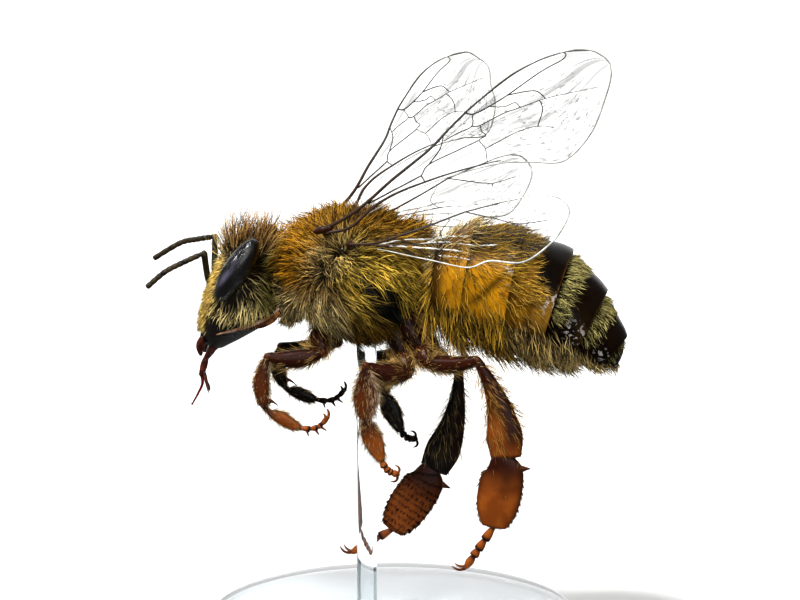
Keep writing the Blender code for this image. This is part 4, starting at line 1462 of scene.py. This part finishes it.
def thorax_coat(sign, upper, rng):
    sizes = bpy.context.scene.bee_sizes
    skin = shape_of("body_skin")

    def weight(at):
        x, y, z = at.T
        own = rise(-0.02, 0.0, y * sign) * ((z > 0.35) == upper)
        own = own * rise(-3.25, -3.05, x) * (1 - rise(0.75, 0.95, x))
        near = 1 - rise(0.1, 0.5, np.linalg.norm(from_parting(at), axis=1))
        under = 1 - 0.5 * rise(-1.1, -1.5, z)
        return own * under * (1 - 0.97 * flank_gap(at, 0.5)) * (1 + 0.8 * near)

    roots, normals, _ = scatter(skin, sizes.thorax_hairs, rng, weight)
    top = rise(0.7, 1.7, roots[:, 2])
    low = 1 - rise(-1.4, -0.7, roots[:, 2])
    near = 1 - rise(0.05, 0.6, np.linalg.norm(from_parting(roots), axis=1))
    collar = rise(-2.3, -3.0, roots[:, 0])
    high = rise(0.0, 0.6, roots[:, 2])
    wisps = (rng.random(len(roots)) < 0.25) * top
    patch = 1 - rise(0.1, 0.5, np.linalg.norm(roots * (1, sign, 1) - HAIR_PARTING[0], axis=1))
    lift = 0.22 + 0.22 * top + 0.3 * near + 0.1 * collar * high + 0.16 * wisps
    length = sizes.thorax_hair / MM * (1 - 0.3 * low - 0.16 * top + 0.22 * wisps) * (1 - 0.35 * near)
    length = length * (1 + collar * (0.45 * high - 0.35 * (1 - high)))
    length = length * (1 + 0.25 * rise(0.3, 0.8, roots[:, 0]) * high)
    chart = round_chart(roots, THORAX_MIDDLE)
    return strands(
        roots, normals, thorax_lie(roots), chart, skin_zones(roots), length, sizes.hair_width / MM, lift, rng,
        stray=0.14 + 0.08 * near + 0.3 * patch, bend=0.7, fall=0.2, lock=8, draw=0.55, rings=4, wave=0.05,
    )


def behind_face(points):
    """How far points are behind the sloping line where the face meets the cheek."""
    return points[:, 0] + 4.42 + 0.42 * (0.9 - points[:, 2])


def head_zones(points):
    """Face gold, crown brown, nape dark olive and pale lower cheek, over the olive cheek."""
    x, y, z = points.T
    face = rise(0.1, -0.25, behind_face(points)) * (1 - rise(0.5, 0.9, z))
    crown = rise(0.55, 1.0, z)
    nape = rise(-4.1, -3.75, x) * (1 - crown) * (1 - 0.7 * (1 - rise(-0.9, -0.3, z)))
    pale = (1 - rise(-0.9, -0.3, z)) * (1 - face) * 0.6
    return np.stack([face, crown, nape, pale], axis=1)


def cheek_height(points):
    """How far points are above the lower rear edge of the cheek."""
    line = np.asarray(CHEEK_LINE)
    return points[:, 2] - np.interp(points[:, 0], line[:, 0], line[:, 1])


def from_bare_patch(points):
    """1 at the edge of the bare patch over the jaws, 0 at its middle."""
    (x, z), (long, tall) = BARE_PATCH
    return np.hypot((points[:, 0] - x) / long, (points[:, 2] - z) / tall)


def in_eye(at):
    """Places round an eye's middle as shares of its half-widths, across it and along it."""
    across = (at[:, 0] * math.cos(EYE_LEAN) - at[:, 2] * math.sin(EYE_LEAN)) / EYE_HALF[0]
    return across, (at[:, 0] * math.sin(EYE_LEAN) + at[:, 2] * math.cos(EYE_LEAN)) / EYE_HALF[2]


def from_eye(points, sign):
    """1 at the edge of the eye on this side, 0 at its middle."""
    return np.hypot(*in_eye(points - np.multiply(EYE_AT, (1, sign, 1))))


def head_coat(sign, rng):
    """The face's short down, and the hair of the crown and cheek, of one side."""
    sizes = bpy.context.scene.bee_sizes
    skin = shape_of("body_skin")
    eye = np.asarray(EYE_AT) * (1, sign, 1)

    def own(at):
        x, y, z = at.T
        above = rise(0.04, 0.2, cheek_height(at)) * rise(0.75, 1.05, from_bare_patch(at))
        mouth = rise(-1.95, -1.55, z - 0.35 * (x + 5.4))
        low = 0.15 + 0.55 * rise(0.7, 1.1, z)
        clear = low + (1 - low) * rise(1.05, 1.55, from_eye(at, sign))
        return rise(-0.02, 0.0, y * sign) * (1 - rise(-3.5, -3.25, x)) * above * mouth * clear

    def face(at):
        level = (1 - rise(0.6, 0.9, at[:, 2])) * rise(-1.9, -1.6, at[:, 2])
        return own(at) * rise(0.1, -0.25, behind_face(at)) * level

    def crown(at):
        return own(at) * rise(0.5, 0.85, at[:, 2]) * (1 + 1.2 * rise(-4.1, -3.8, at[:, 0]))

    def cheek(at):
        low = 1 - rise(0.6, 1.0, at[:, 2])
        return own(at) * low * (1 + rise(-4.0, -3.7, at[:, 0])) * rise(-0.25, 0.1, behind_face(at))

    parts = {}
    counts = {"face": sizes.face_hairs, "crown": sizes.crown_hairs, "cheek": sizes.cheek_hairs}
    for name, weight in (("face", face), ("crown", crown), ("cheek", cheek)):
        roots, normals, _ = scatter(skin, counts[name], rng, weight)
        radial = unit((roots - eye) * (1, 0.3, 1))
        zones = head_zones(roots)
        stray, draw, fall, rings = 0.17, 0.3, 0.0, 4
        if name == "face":
            lie = np.array((-0.3, 0, -1.0)) + 0 * roots
            lift, length, rings = 0.5, sizes.face_hair / MM, 2
        elif name == "crown":
            wisps = rng.random(len(roots)) < 0.6
            lie, lift = radial + UP * 0.6, 0.4 + 0.15 * wisps
            length = sizes.crown_hair / MM * np.where(wisps, 1.7, 0.6)
            zones[:, 2] = np.maximum(zones[:, 2], np.where(wisps, 0.0, 0.3))
            stray, draw = 0.22, 0.15
        else:
            low = (1 - rise(-0.6, 0.2, roots[:, 2]))[:, None]
            lie = radial * (1 - low) + np.array((-0.42, 0, -1.0)) * low
            lie = lie + 0.2 * wander(roots, 0.6, 8)
            lift = 0.2 + 0.15 * rise(-4.0, -3.6, roots[:, 0])
            length = sizes.cheek_hair / MM * (0.7 + 0.4 * low[:, 0])
            length = length * (1 - 0.78 * (1 - rise(0.15, 1.0, cheek_height(roots))))
            length = length * (1 - 0.5 * (1 - rise(1.2, 2.4, from_bare_patch(roots))))
            fall = 0.1
        chart = round_chart(roots, (-4.5, 0, -0.3))
        width = sizes.hair_width / MM * {"face": 0.75, "crown": 0.58, "cheek": 0.72}[name]
        parts[name] = strands(
            roots, normals, lie, chart, zones, length, width, lift, rng,
            stray=stray, bend=0.45, fall=fall, lock=4, draw=draw, rings=rings,
        )
    return parts["face"], joined([parts["crown"], parts["cheek"]])


def abdomen_lie(turn):
    """Backwards along the body, and down its sides."""
    away = np.abs(turn)[:, None]
    back = np.array((0.93, 0, -0.32)) * (1.1 - 0.55 * rise(1.3, 2.2, away))
    return back - UP * (0.25 + 0.9 * rise(0.6, 1.9, away)) * rise(0.1, 0.5, away)


def abdomen_hair_zones(plate, share, turn):
    """A plate's hair colours: gold, band, dark and pale, over the colour of the belly's hair."""
    away = np.abs(turn)
    gold = (1.0, 1.0, 0.75, 0.0, 0.0, 0.0)[plate] * (1 - rise(1.9, 2.4, away))
    band = (plate > 2) * (1 - rise(1.5, 2.0, away))
    dark = 0.5 * rise(0.9, 1.0, share) * (plate > 2)
    dark = dark + 0.5 * (1 - rise(0.4, 1.1, away)) * (plate in (1, 2))
    pale = 0.5 * bump(1.9, 0.5, away) * (plate > 1) + 0.75 * (plate == 0) * (1 - rise(0.5, 1.2, away))
    pale = pale + (0.0, 0.0, 0.5, 0.95, 0.95, 0.0)[plate] * rise(1.9, 2.3, away)
    return np.stack([gold, band, np.maximum(dark, 0.6 * (plate == 5)), pale], axis=1)


def abdomen_coat(rng, fleece):
    """The bands of short hair on the back, or the fleece of long hair low on the sides."""
    sizes = bpy.context.scene.bee_sizes
    parts = []
    for plate in range(6):
        shape = plate_shape(plate)
        share, turn = shape.marks["share"], shape.marks["turn_at"]
        away = np.abs(turn)
        if fleece:
            thick = rise(1.55, 2.15, away) * (0.35 + 0.65 * (1 - rise(2.5, 3.0, away)))
            count = (650, 750, 800, 800, 520, 220)[plate]
        else:
            bald = (1.2, 1.1, 0.28, 0.34, 0.34, 0.25)[plate] + 0.42 * (plate == 2) * rise(0.75, 1.15, away)
            bald = bald - 0.08 * (plate in (3, 4)) * rise(0.9, 1.4, away)
            thick = (1 - rise(bald - 0.14, bald + 0.06, share)) * (1 - rise(1.35, 1.7, away))
            if plate < 2:
                thick = (1 - 0.6 * rise(0.85, 1.3, away)) * (1 - rise(2.0, 2.3, away))
                thick = thick * (1 - 0.7 * (plate == 1) * rise(0.4, 0.75, share) * (1 - rise(0.5, 0.9, away)))
            count = (750, 1050, 760, 1100, 760, 140)[plate]
        thick = thick * (share > -0.01) * (share < 0.995)
        tris = shape.all_tris()
        heavy = thick[tris].mean(1)
        keep = heavy > 0.02
        part = Shape(shape.points, tris[keep], **shape.marks)
        roots, normals, marks = scatter(part, int(count * sizes.abdomen_fill), rng, lambda at: heavy[keep])
        share, turn = marks["share"][:, 0], marks["turn_at"][:, 0]
        if fleece:
            rear = (1.35, 1.1, 0.95, 0.82, 0.64, 0.3)[plate]
            length = sizes.fleece_hair / MM * (0.7 + 0.4 * rise(1.5, 2.1, np.abs(turn))) * rear
            lift, rings, fall = (0.34, 0.24, 0.2, 0.2, 0.2, 0.4)[plate], 4, 0.3
        else:
            erect = (plate == 0) * 0.35
            length = sizes.band_hair / MM * (1.6, 1.9, 1.5, 0.95, 0.85, 0.6)[plate]
            length = length * (1 + 0.25 * rise(1.0, 1.6, np.abs(turn)))
            lift, rings, fall = 0.12 + erect * (1 - rise(0.3, 0.7, share)), 3, 0.0
        chart = framed(turn / (2 * math.pi) + 0.5, (plate + np.clip(share, 0, 1)) / 6)
        width = sizes.hair_width / MM * (0.85 if fleece else 0.65 if plate < 2 else 0.75)
        zones = abdomen_hair_zones(plate, share, turn)
        lie = unit(abdomen_lie(turn)) + 0.22 * wander(roots, 0.7, 12)
        made = strands(
            roots, normals, lie, chart, zones, length, width, lift, rng,
            stray=0.16, bend=0.35, fall=fall, lock=4, draw=0.3, rings=rings,
        )
        parts.append(made)
    return joined(parts)


def leg_coat(leg, rng):
    """Fine hair along each length of a leg, with longer fringes on its edges."""
    sizes = bpy.context.scene.bee_sizes
    kind = leg.split("_")[0]
    sign = -1 if leg.endswith("left") else 1
    amounts = {
        "fore": {"hip": (260, 0.34), "femur": (420, 0.32), "tibia": (700, 0.19), "basitarsus": (600, 0.19)},
        "mid": {"hip": (340, 0.32), "femur": (560, 0.3), "tibia": (1300, 0.3), "basitarsus": (800, 0.22)},
        "hind": {"hip": (320, 0.32), "femur": (420, 0.3), "tibia": (760, 0.55), "basitarsus": (200, 0.12)},
    }[kind]
    amounts["root"] = (460, 0.36)
    order = list(LEG_JOINTS)
    parts = []
    for index, (name, (count, length)) in enumerate(amounts.items()):
        shape = leg_root(leg, kind) if name == "root" else leg_length(leg, kind, name)
        edge = np.abs(shape.normals()[:, 1])
        shape.marks["fringe"] = 1 - rise(0.25, 0.8, edge)
        tris = shape.all_tris()
        share = shape.marks["share"][tris].mean(1)
        fringe = shape.marks["fringe"][tris].mean(1)
        behind = np.cos(2 * math.pi * shape.marks["turn"][tris].mean(1))
        heavy = (0.45 + 0.9 * fringe) * rise(0.02, 0.1, share)
        if name == "femur":
            above = rise(-0.4, 0.4, shape.normals()[tris].mean(1)[:, 2]) * rise(0.1, 0.3, share)
            heavy = heavy * (1 - 0.8 * above) + 0.6 * (1 - rise(0.1, 0.3, share))
        if kind == "hind" and name in ("tibia", "basitarsus"):
            heavy = (0.03 + 1.4 * fringe) * rise(0.02, 0.1, share)
            streak = np.abs(shape.normals()[tris].mean(1)[:, 1]) > 0.8
            if name == "tibia":
                front = 1 - rise(-0.3, 0.4, behind)
                heavy = heavy + (0.2 + 1.1 * front) * streak * rise(0.1, 0.3, share)
                heavy = heavy * (1 - 0.9 * rise(0.72, 0.9, share))
        if (kind, name) == ("mid", "tibia"):
            heavy = heavy * (1 + 2.0 * rise(0.0, 0.6, behind))
        if leg.endswith("right"):
            count = count * 0.6
        part = Shape(shape.points, tris, **shape.marks)
        roots, normals, marks = scatter(part, int(count * sizes.leg_fill), rng, lambda at: heavy)
        fringe, turn, share, inside = (marks[mark][:, 0] for mark in ("fringe", "turn", "share", "inside"))
        corner = ((order.index(leg) + 0.03) / 6, (index + 0.03) / 5)
        chart = np.asarray(corner) + 0.94 * np.stack([turn / 6, share / 5], axis=1)
        rear = rise(0.0, 0.6, np.cos(2 * math.pi * turn)) * (kind == "mid") * (name == "tibia")
        down = (kind != "hind") * 0.4 * (name in ("tibia", "basitarsus"))
        down = np.maximum(down, 0.9 * rear) * (1 - inside)
        body = {"root": 0.7, "hip": 0.5, "femur": 0.5}.get(name, 0.0)
        # Hairs on the inner faces take the dark bristle colour, which there is partly painted shade
        bristle = 0.55 * inside * (1 - fringe) + 0.6 * (kind == "hind") * (name == "basitarsus") * fringe
        bristle = bristle + 0.45 * (kind != "hind") * (1 - fringe) * (1 - inside)
        zones = np.stack([0 * fringe + body * 0.9, 0 * fringe, bristle, down], axis=1)
        lie = marks["lie"]
        if kind == "hind" and name == "tibia":
            lie = lie + 0.4 * unit(np.cross(np.subtract(LEG_JOINTS[leg][3], LEG_JOINTS[leg][2]), ASIDE))
            zones[:, 0] = 0.7 * (1 - inside)
        length = length * (0.85 + 0.5 * fringe)
        width, lift = sizes.hair_width / MM * 0.38, 0.12 + 0.3 * fringe
        hair = (roots, normals, lie, chart, zones, length, width, lift)
        parts.append(strands(*hair, rng, stray=0.14, bend=0.35))
    if kind == "hind":
        parts.append(comb_rows(leg, sign, rng))
    return joined(parts)


def comb_rows(leg, sign, rng):
    """The pollen combs: rows of stiff bristles across the inner face of the long foot joint."""
    shape = leg_length(leg, "hind", "basitarsus")
    inner = -sign
    normals = shape.normals()
    share, turn = shape.marks["share"], shape.marks["turn"]
    rows = []
    for row in range(COMB_ROWS):
        at = 0.12 + 0.8 * row / (COMB_ROWS - 1)
        near = np.flatnonzero((np.abs(share - at) < 0.018) & (normals[:, 1] * inner > 0.25))
        order = near[np.argsort(turn[near])]
        if len(order) < 2:
            continue
        place = np.linspace(0, len(order) - 1, COMB_TEETH)
        low = np.minimum(place.astype(int), len(order) - 2)
        mix = (place - low)[:, None]
        row = [made[order[low]] * (1 - mix) + made[order[low + 1]] * mix for made in (shape.points, normals)]
        rows.append((*row, np.full(COMB_TEETH, at)))
    roots = np.vstack([row[0] for row in rows])
    roots = roots + rng.normal(0, 0.015, roots.shape) * (1, 0, 1)
    facing = unit(np.vstack([row[1] for row in rows]))
    shares = np.concatenate([row[2] for row in rows])
    count = len(roots)
    lie = np.tile(unit(np.subtract(LEG_JOINTS[leg][4], LEG_JOINTS[leg][3])), (count, 1))
    chart = np.stack([0.5 + 0.4 * rng.random(count), 0.9 + 0.08 * shares], axis=1)
    zones = np.tile((0.0, 0.0, 1.0, 0.0), (count, 1))
    return strands(roots, facing, lie, chart, zones, 0.13, 0.036, 0.36, rng, stray=0.05, bend=0.1, rings=2)


def build_coat():
    thorax = hair_finish("thorax_hair", "thorax")
    head = hair_finish("head_hair", "head", darkest=0.06)
    face = hair_finish("face_down", "head", root_shade=0.35, paleness=0.95, darkest=0.42)
    abdomen = hair_finish("abdomen_hair", "abdomen", root_shade=0.4, darkest=0.35)
    fleece = hair_finish("abdomen_fleece", "abdomen", root_shade=0.12, darkest=0.15)
    leg = hair_finish("leg_hair", "leg", root_shade=0.4, darkest=0.4)
    for seed, (side, sign) in enumerate(SIDES):
        for level, upper in (("upper", True), ("lower", False)):
            shape = thorax_coat(sign, upper, np.random.default_rng(10 + 2 * seed + upper))
            piece("coat_thorax_%s_%s" % (level, side), shape, thorax)
        front, rest = head_coat(sign, np.random.default_rng(20 + seed))
        piece("coat_face_" + side, front, face)
        piece("coat_head_" + side, rest, head)
        seeds = {name: 30 + index for index, name in enumerate(LEG_JOINTS) if name.endswith(side)}
        legs = [leg_coat(name, np.random.default_rng(seed)) for name, seed in seeds.items()]
        piece("coat_legs_" + side, joined(legs), leg)
    piece("coat_abdomen_bands", abdomen_coat(np.random.default_rng(50), False), abdomen)
    piece("coat_abdomen_fleece", abdomen_coat(np.random.default_rng(60), True), fleece)


# The stand, the light and the camera


def turned_profile(profile, around=96):
    """A solid of revolution about the Z axis through the profile's radius and height."""
    turn = 2 * math.pi * np.arange(around) / around
    rings = [np.stack([r * np.cos(turn), r * np.sin(turn), np.full(around, z)], axis=1) for r, z in profile]
    return loft(rings)


def build_stand():
    look = acrylic_finish()
    edge = [(math.sin(a) * BASE_EDGE, math.cos(a) * BASE_EDGE) for a in np.linspace(0, math.pi / 2, 6)]
    low = [(BASE_RADIUS - BASE_EDGE + x, BASE_EDGE - z) for x, z in edge]
    high = [(BASE_RADIUS - BASE_EDGE + x, BASE_THICK - BASE_EDGE + z) for x, z in edge[::-1]]
    base = turned_profile(low + high)
    base.points -= (0, 0, BEE_HEIGHT)
    made = piece("stand_base_disc", base, look, ("stand_base",))
    made.data.set_sharp_from_angle(angle=math.radians(30))
    foot = BASE_THICK - BEE_HEIGHT - 0.3
    rod = turned_profile([(ROD_RADIUS, foot), (ROD_RADIUS, ROD_TOP - 0.08), (ROD_RADIUS - 0.08, ROD_TOP)], 32)
    rod.points += (ROD_X, 0, 0)
    made = piece("stand_support_rod", rod, look, ("stand_rod",))
    made.data.set_sharp_from_angle(angle=math.radians(30))


def away_from_bee(turn, height):
    """The direction from the bee to a place at this turn round it and this height, in radians."""
    flat = math.cos(height)
    return Vector((math.sin(turn) * flat, -math.cos(turn) * flat, math.sin(height)))


def light(name, turn, height, strength, spread):
    """A soft white sun from a compass turn round the bee (0 is the camera's side) and a height."""
    data = bpy.data.lights.new(name, "SUN")
    data.energy = strength
    data.angle = math.radians(spread)
    made = bpy.data.objects.new(name, data)
    bpy.context.scene.collection.objects.link(made)
    way = away_from_bee(math.radians(turn), math.radians(height))
    made.rotation_euler = way.to_track_quat("Z", "Y").to_euler()


def build_stage():
    scene = bpy.context.scene
    data = bpy.data.meshes.new("studio_floor")
    half = FLOOR_HALF
    corners = [(-half, -half, 0), (half, -half, 0), (half, half, 0), (-half, half, 0)]
    data.from_pydata(corners, [], [(0, 1, 2, 3)])
    # Matt floor paint: a trace of clouding keeps the pale floor from looking like a cut-out
    paint, tree = finish("matt_floor_paint", Roughness=0.9)
    own = {0: clouds(tree, 30.0), 6: linear("#F7F7F5"), 7: linear("#F3F3F1")}
    data.materials.append(dress(paint, add_node(tree, "Mix", own, **MIX)))
    floor = bpy.data.objects.new("studio_floor", data)
    floor.location.z = -FLOOR_DROP
    floor.visible_diffuse = False
    floor.visible_glossy = False
    scene.collection.objects.link(floor)
    world = bpy.data.worlds.new("studio")
    world.use_nodes = True
    sky = world.node_tree.nodes["Background"].inputs
    sky["Color"].default_value = linear("#FFFFFF")
    sky["Strength"].default_value = 0.16
    scene.world = world
    light("key", -32, 62, 4.7, 10)
    light("fill", 15, 22, 1.5, 50)
    light("front", -78, 32, 0.9, 7)
    light("back", 190, 16, 1.3, 60)
    light("rim", 150, 50, 0.3, 30)
    camera = bpy.data.objects.new("camera", bpy.data.cameras.new("camera"))
    camera.data.sensor_width = SENSOR
    camera.data.lens = SENSOR * DISTANCE / VIEW_WIDTH
    camera.data.clip_start = 0.005
    camera.data.clip_end = 10.0
    back = away_from_bee(AZIMUTH, ELEVATION)
    camera.location = (Vector(LOOK_AT) + back * DISTANCE) * MM
    camera.rotation_mode = "QUATERNION"
    camera.rotation_quaternion = back.to_track_quat("Z", "Y")
    scene.collection.objects.link(camera)
    scene.camera = camera
    scene.view_settings.view_transform = "Standard"


# The add-on


def colour_property(description, code):
    return bpy.props.FloatVectorProperty(
        description=description, subtype="COLOR", size=4, min=0.0, max=1.0, default=linear(code)
    )


def length_property(description, millimetres):
    return bpy.props.FloatProperty(
        description=description, unit="LENGTH", precision=5, min=0.0, default=millimetres * MM
    )


def count_property(description, default):
    return bpy.props.IntProperty(description=description, min=100, default=default)


def share_property(description, default):
    return bpy.props.FloatProperty(description=description, min=0.1, max=3.0, default=default)


class BeeSizes(bpy.types.PropertyGroup):
    """Lengths and amounts of the coat."""

    thorax_hair: length_property("Length of the long hair on the thorax", 0.95)
    crown_hair: length_property("Length of the upright hair on the crown", 0.66)
    cheek_hair: length_property("Length of the combed hair on the cheeks", 0.88)
    face_hair: length_property("Length of the short hair on the face", 0.26)
    band_hair: length_property("Length of the hair on the abdomen's back", 0.36)
    fleece_hair: length_property("Length of the hair low on the abdomen", 0.85)
    hair_width: length_property("Width of a hair at its root", 0.036)
    thorax_hairs: count_property("Hairs on each quarter of the thorax", 8300)
    face_hairs: count_property("Hairs on each side of the face", 3000)
    crown_hairs: count_property("Hairs on each side of the crown", 620)
    cheek_hairs: count_property("Hairs on each cheek", 1700)
    abdomen_fill: share_property("Share of the abdomen's hairs", 1.4)
    leg_fill: share_property("Share of the legs' hairs", 1.1)


class BeeColours(bpy.types.PropertyGroup):
    """Colours of the shell, the coat, the eyes and the wings."""

    cuticle: colour_property("Shell under the coat", "#0C0906")
    straw: colour_property("Tint of the hairs' pale tips", "#8A7030")
    thorax_hair: colour_property("Hair on the thorax where no zone covers it", "#583A0A")
    gold_hair: colour_property("Hair on top of the thorax", "#B4780E")
    olive_hair: colour_property("Hair behind the whorl", "#E6BE46")
    dark_hair: colour_property("Hair in the dark patch of the flank", "#0E1410")
    tan_hair: colour_property("Pale hair on the lower chest", "#F2D692")
    cheek_hair: colour_property("Hair on the cheeks", "#F2DA90")
    face_hair: colour_property("Short hair on the face", "#FFD874")
    crown_hair: colour_property("Upright hair on the crown", "#A67840")
    nape_hair: colour_property("Hair behind the head", "#6E682E")
    abdomen_hair: colour_property("Golden hair on the first plates", "#C89A30")
    band_hair: colour_property("Pale olive hair bands", "#B8AC68")
    belly_hair: colour_property("Hair low on the abdomen", "#B08840")
    leg_hair: colour_property("Fine hair on the legs", "#C6AA70")
    leg_down: colour_property("Pale down that lies on the legs", "#C09C7C")
    bristle: colour_property("Stiff dark bristles", "#1A0C06")
    plate: colour_property("Brown of the abdomen's plates", "#2A1606")
    amber: colour_property("Amber of the first plates", "#B87C0A")
    plate_tan: colour_property("Tan margins of the plates", "#94691F")
    plate_black: colour_property("Black bands of the plates", "#080604")
    wax: colour_property("Waxy flecks on the plates", "#C8C2BC")
    leg: colour_property("Chestnut of the legs", "#321207")
    leg_light: colour_property("Lighter chestnut of the legs", "#A4541A")
    # The real dark of the legs' joints, and the painted shade along their edges, in the hind foot's fold and
    # at the foot joints' ends
    leg_dark: colour_property("Legs at the joints", "#1A0906")
    # Painted shade: the near black painted on the legs' inner faces and on the far feet
    leg_inner: colour_property("Inner faces of the legs", "#080503")
    eye: colour_property("Compound eyes", "#020203")
    # Painted reflection: the grey-blue sheen painted down the front of the eyes
    eye_light: colour_property("Grey-blue sheen of the eyes", "#545060")
    feeler: colour_property("Feelers", "#0E0A06")
    feeler_light: colour_property("Lighter clouding of the feelers", "#352A16")
    jaw: colour_property("Jaws and mouth", "#2A0E08")
    jaw_light: colour_property("Lighter clouding of the mouth", "#5A2414")
    tongue: colour_property("Tongue", "#6E1414")
    margin: colour_property("Brown rim under the cheek", "#8A5420")
    margin_pale: colour_property("Pale strip under the cheek", "#C09A84")
    membrane: colour_property("Clear wing membrane", "#5C5C5A")
    # The darker grey of the streaks in the wings' membrane
    smoke: colour_property("Smoky folds of the wings", "#3A3A39")
    # The wings' real thin rim, made pale partly as a painted reflection along the edge
    wing_rim: colour_property("Thin rim of the wings", "#B2B2AA")
    rim_shade: colour_property("Darker clouding of the wings' rim", "#8C8C86")
    # Painted highlight: the pale glints along the hind wing's creases and on the near hind wing's rim
    crease: colour_property("Pale creases of the hind wing", "#F0EEE8")
    vein_root: colour_property("Veins near the root", "#2C1A0C")
    vein: colour_property("Veins further out", "#3A3836")


class BEE_OT_stage(bpy.types.Operator):
    """Make the floor, the soft studio light and the camera"""

    bl_idname = "bee.stage"
    bl_label = "Stage"

    def execute(self, context):
        build_stage()
        return {"FINISHED"}


class BEE_OT_skin(bpy.types.Operator):
    """Make the one skin of head, thorax and waist"""

    bl_idname = "bee.skin"
    bl_label = "Skin"

    def execute(self, context):
        build_skin()
        return {"FINISHED"}


class BEE_OT_head(bpy.types.Operator):
    """Make the eyes, the feelers and the mouth"""

    bl_idname = "bee.head"
    bl_label = "Head pieces"

    def execute(self, context):
        build_eyes()
        build_feelers()
        build_mouth()
        return {"FINISHED"}


class BEE_OT_abdomen(bpy.types.Operator):
    """Make the plates of the abdomen"""

    bl_idname = "bee.abdomen"
    bl_label = "Abdomen"

    def execute(self, context):
        build_abdomen()
        return {"FINISHED"}


class BEE_OT_legs(bpy.types.Operator):
    """Make the legs, feet, claws and wing root caps"""

    bl_idname = "bee.legs"
    bl_label = "Legs"

    def execute(self, context):
        build_legs()
        return {"FINISHED"}


class BEE_OT_wings(bpy.types.Operator):
    """Make the wings' membranes and veins"""

    bl_idname = "bee.wings"
    bl_label = "Wings"

    def execute(self, context):
        build_wings()
        return {"FINISHED"}


class BEE_OT_coat(bpy.types.Operator):
    """Grow the coat on the skin, the plates and the legs"""

    bl_idname = "bee.coat"
    bl_label = "Coat"

    def execute(self, context):
        if "body_skin" not in bpy.data.objects:
            raise RuntimeError("make the skin before the coat")
        build_coat()
        return {"FINISHED"}


class BEE_OT_stand(bpy.types.Operator):
    """Make the clear display stand"""

    bl_idname = "bee.stand"
    bl_label = "Stand"

    def execute(self, context):
        build_stand()
        return {"FINISHED"}


STEPS = (
    BEE_OT_stage, BEE_OT_skin, BEE_OT_head, BEE_OT_abdomen,
    BEE_OT_legs, BEE_OT_wings, BEE_OT_coat, BEE_OT_stand,
)


class BEE_PT_panel(bpy.types.Panel):
    """Lists the steps, the sizes and the colours"""

    bl_label = "Honey bee"
    bl_idname = "BEE_PT_panel"
    bl_space_type = "VIEW_3D"
    bl_region_type = "UI"
    bl_category = "Honey bee"

    def draw(self, context):
        for step in STEPS:
            self.layout.operator(step.bl_idname)
        for group in (context.scene.bee_sizes, context.scene.bee_colours):
            box = self.layout.box()
            for name in group.__annotations__:
                box.prop(group, name, text=name.replace("_", " ").capitalize())


CLASSES = (BeeSizes, BeeColours, *STEPS, BEE_PT_panel)


def register():
    for one in CLASSES:
        bpy.utils.register_class(one)
    bpy.types.Scene.bee_sizes = bpy.props.PointerProperty(type=BeeSizes)
    bpy.types.Scene.bee_colours = bpy.props.PointerProperty(type=BeeColours)


def unregister():
    del bpy.types.Scene.bee_colours
    del bpy.types.Scene.bee_sizes
    for one in reversed(CLASSES):
        bpy.utils.unregister_class(one)


def main():
    register()
    for step in STEPS:
        group, name = step.bl_idname.split(".")
        getattr(getattr(bpy.ops, group), name)()


if __name__ == "__main__":
    main()
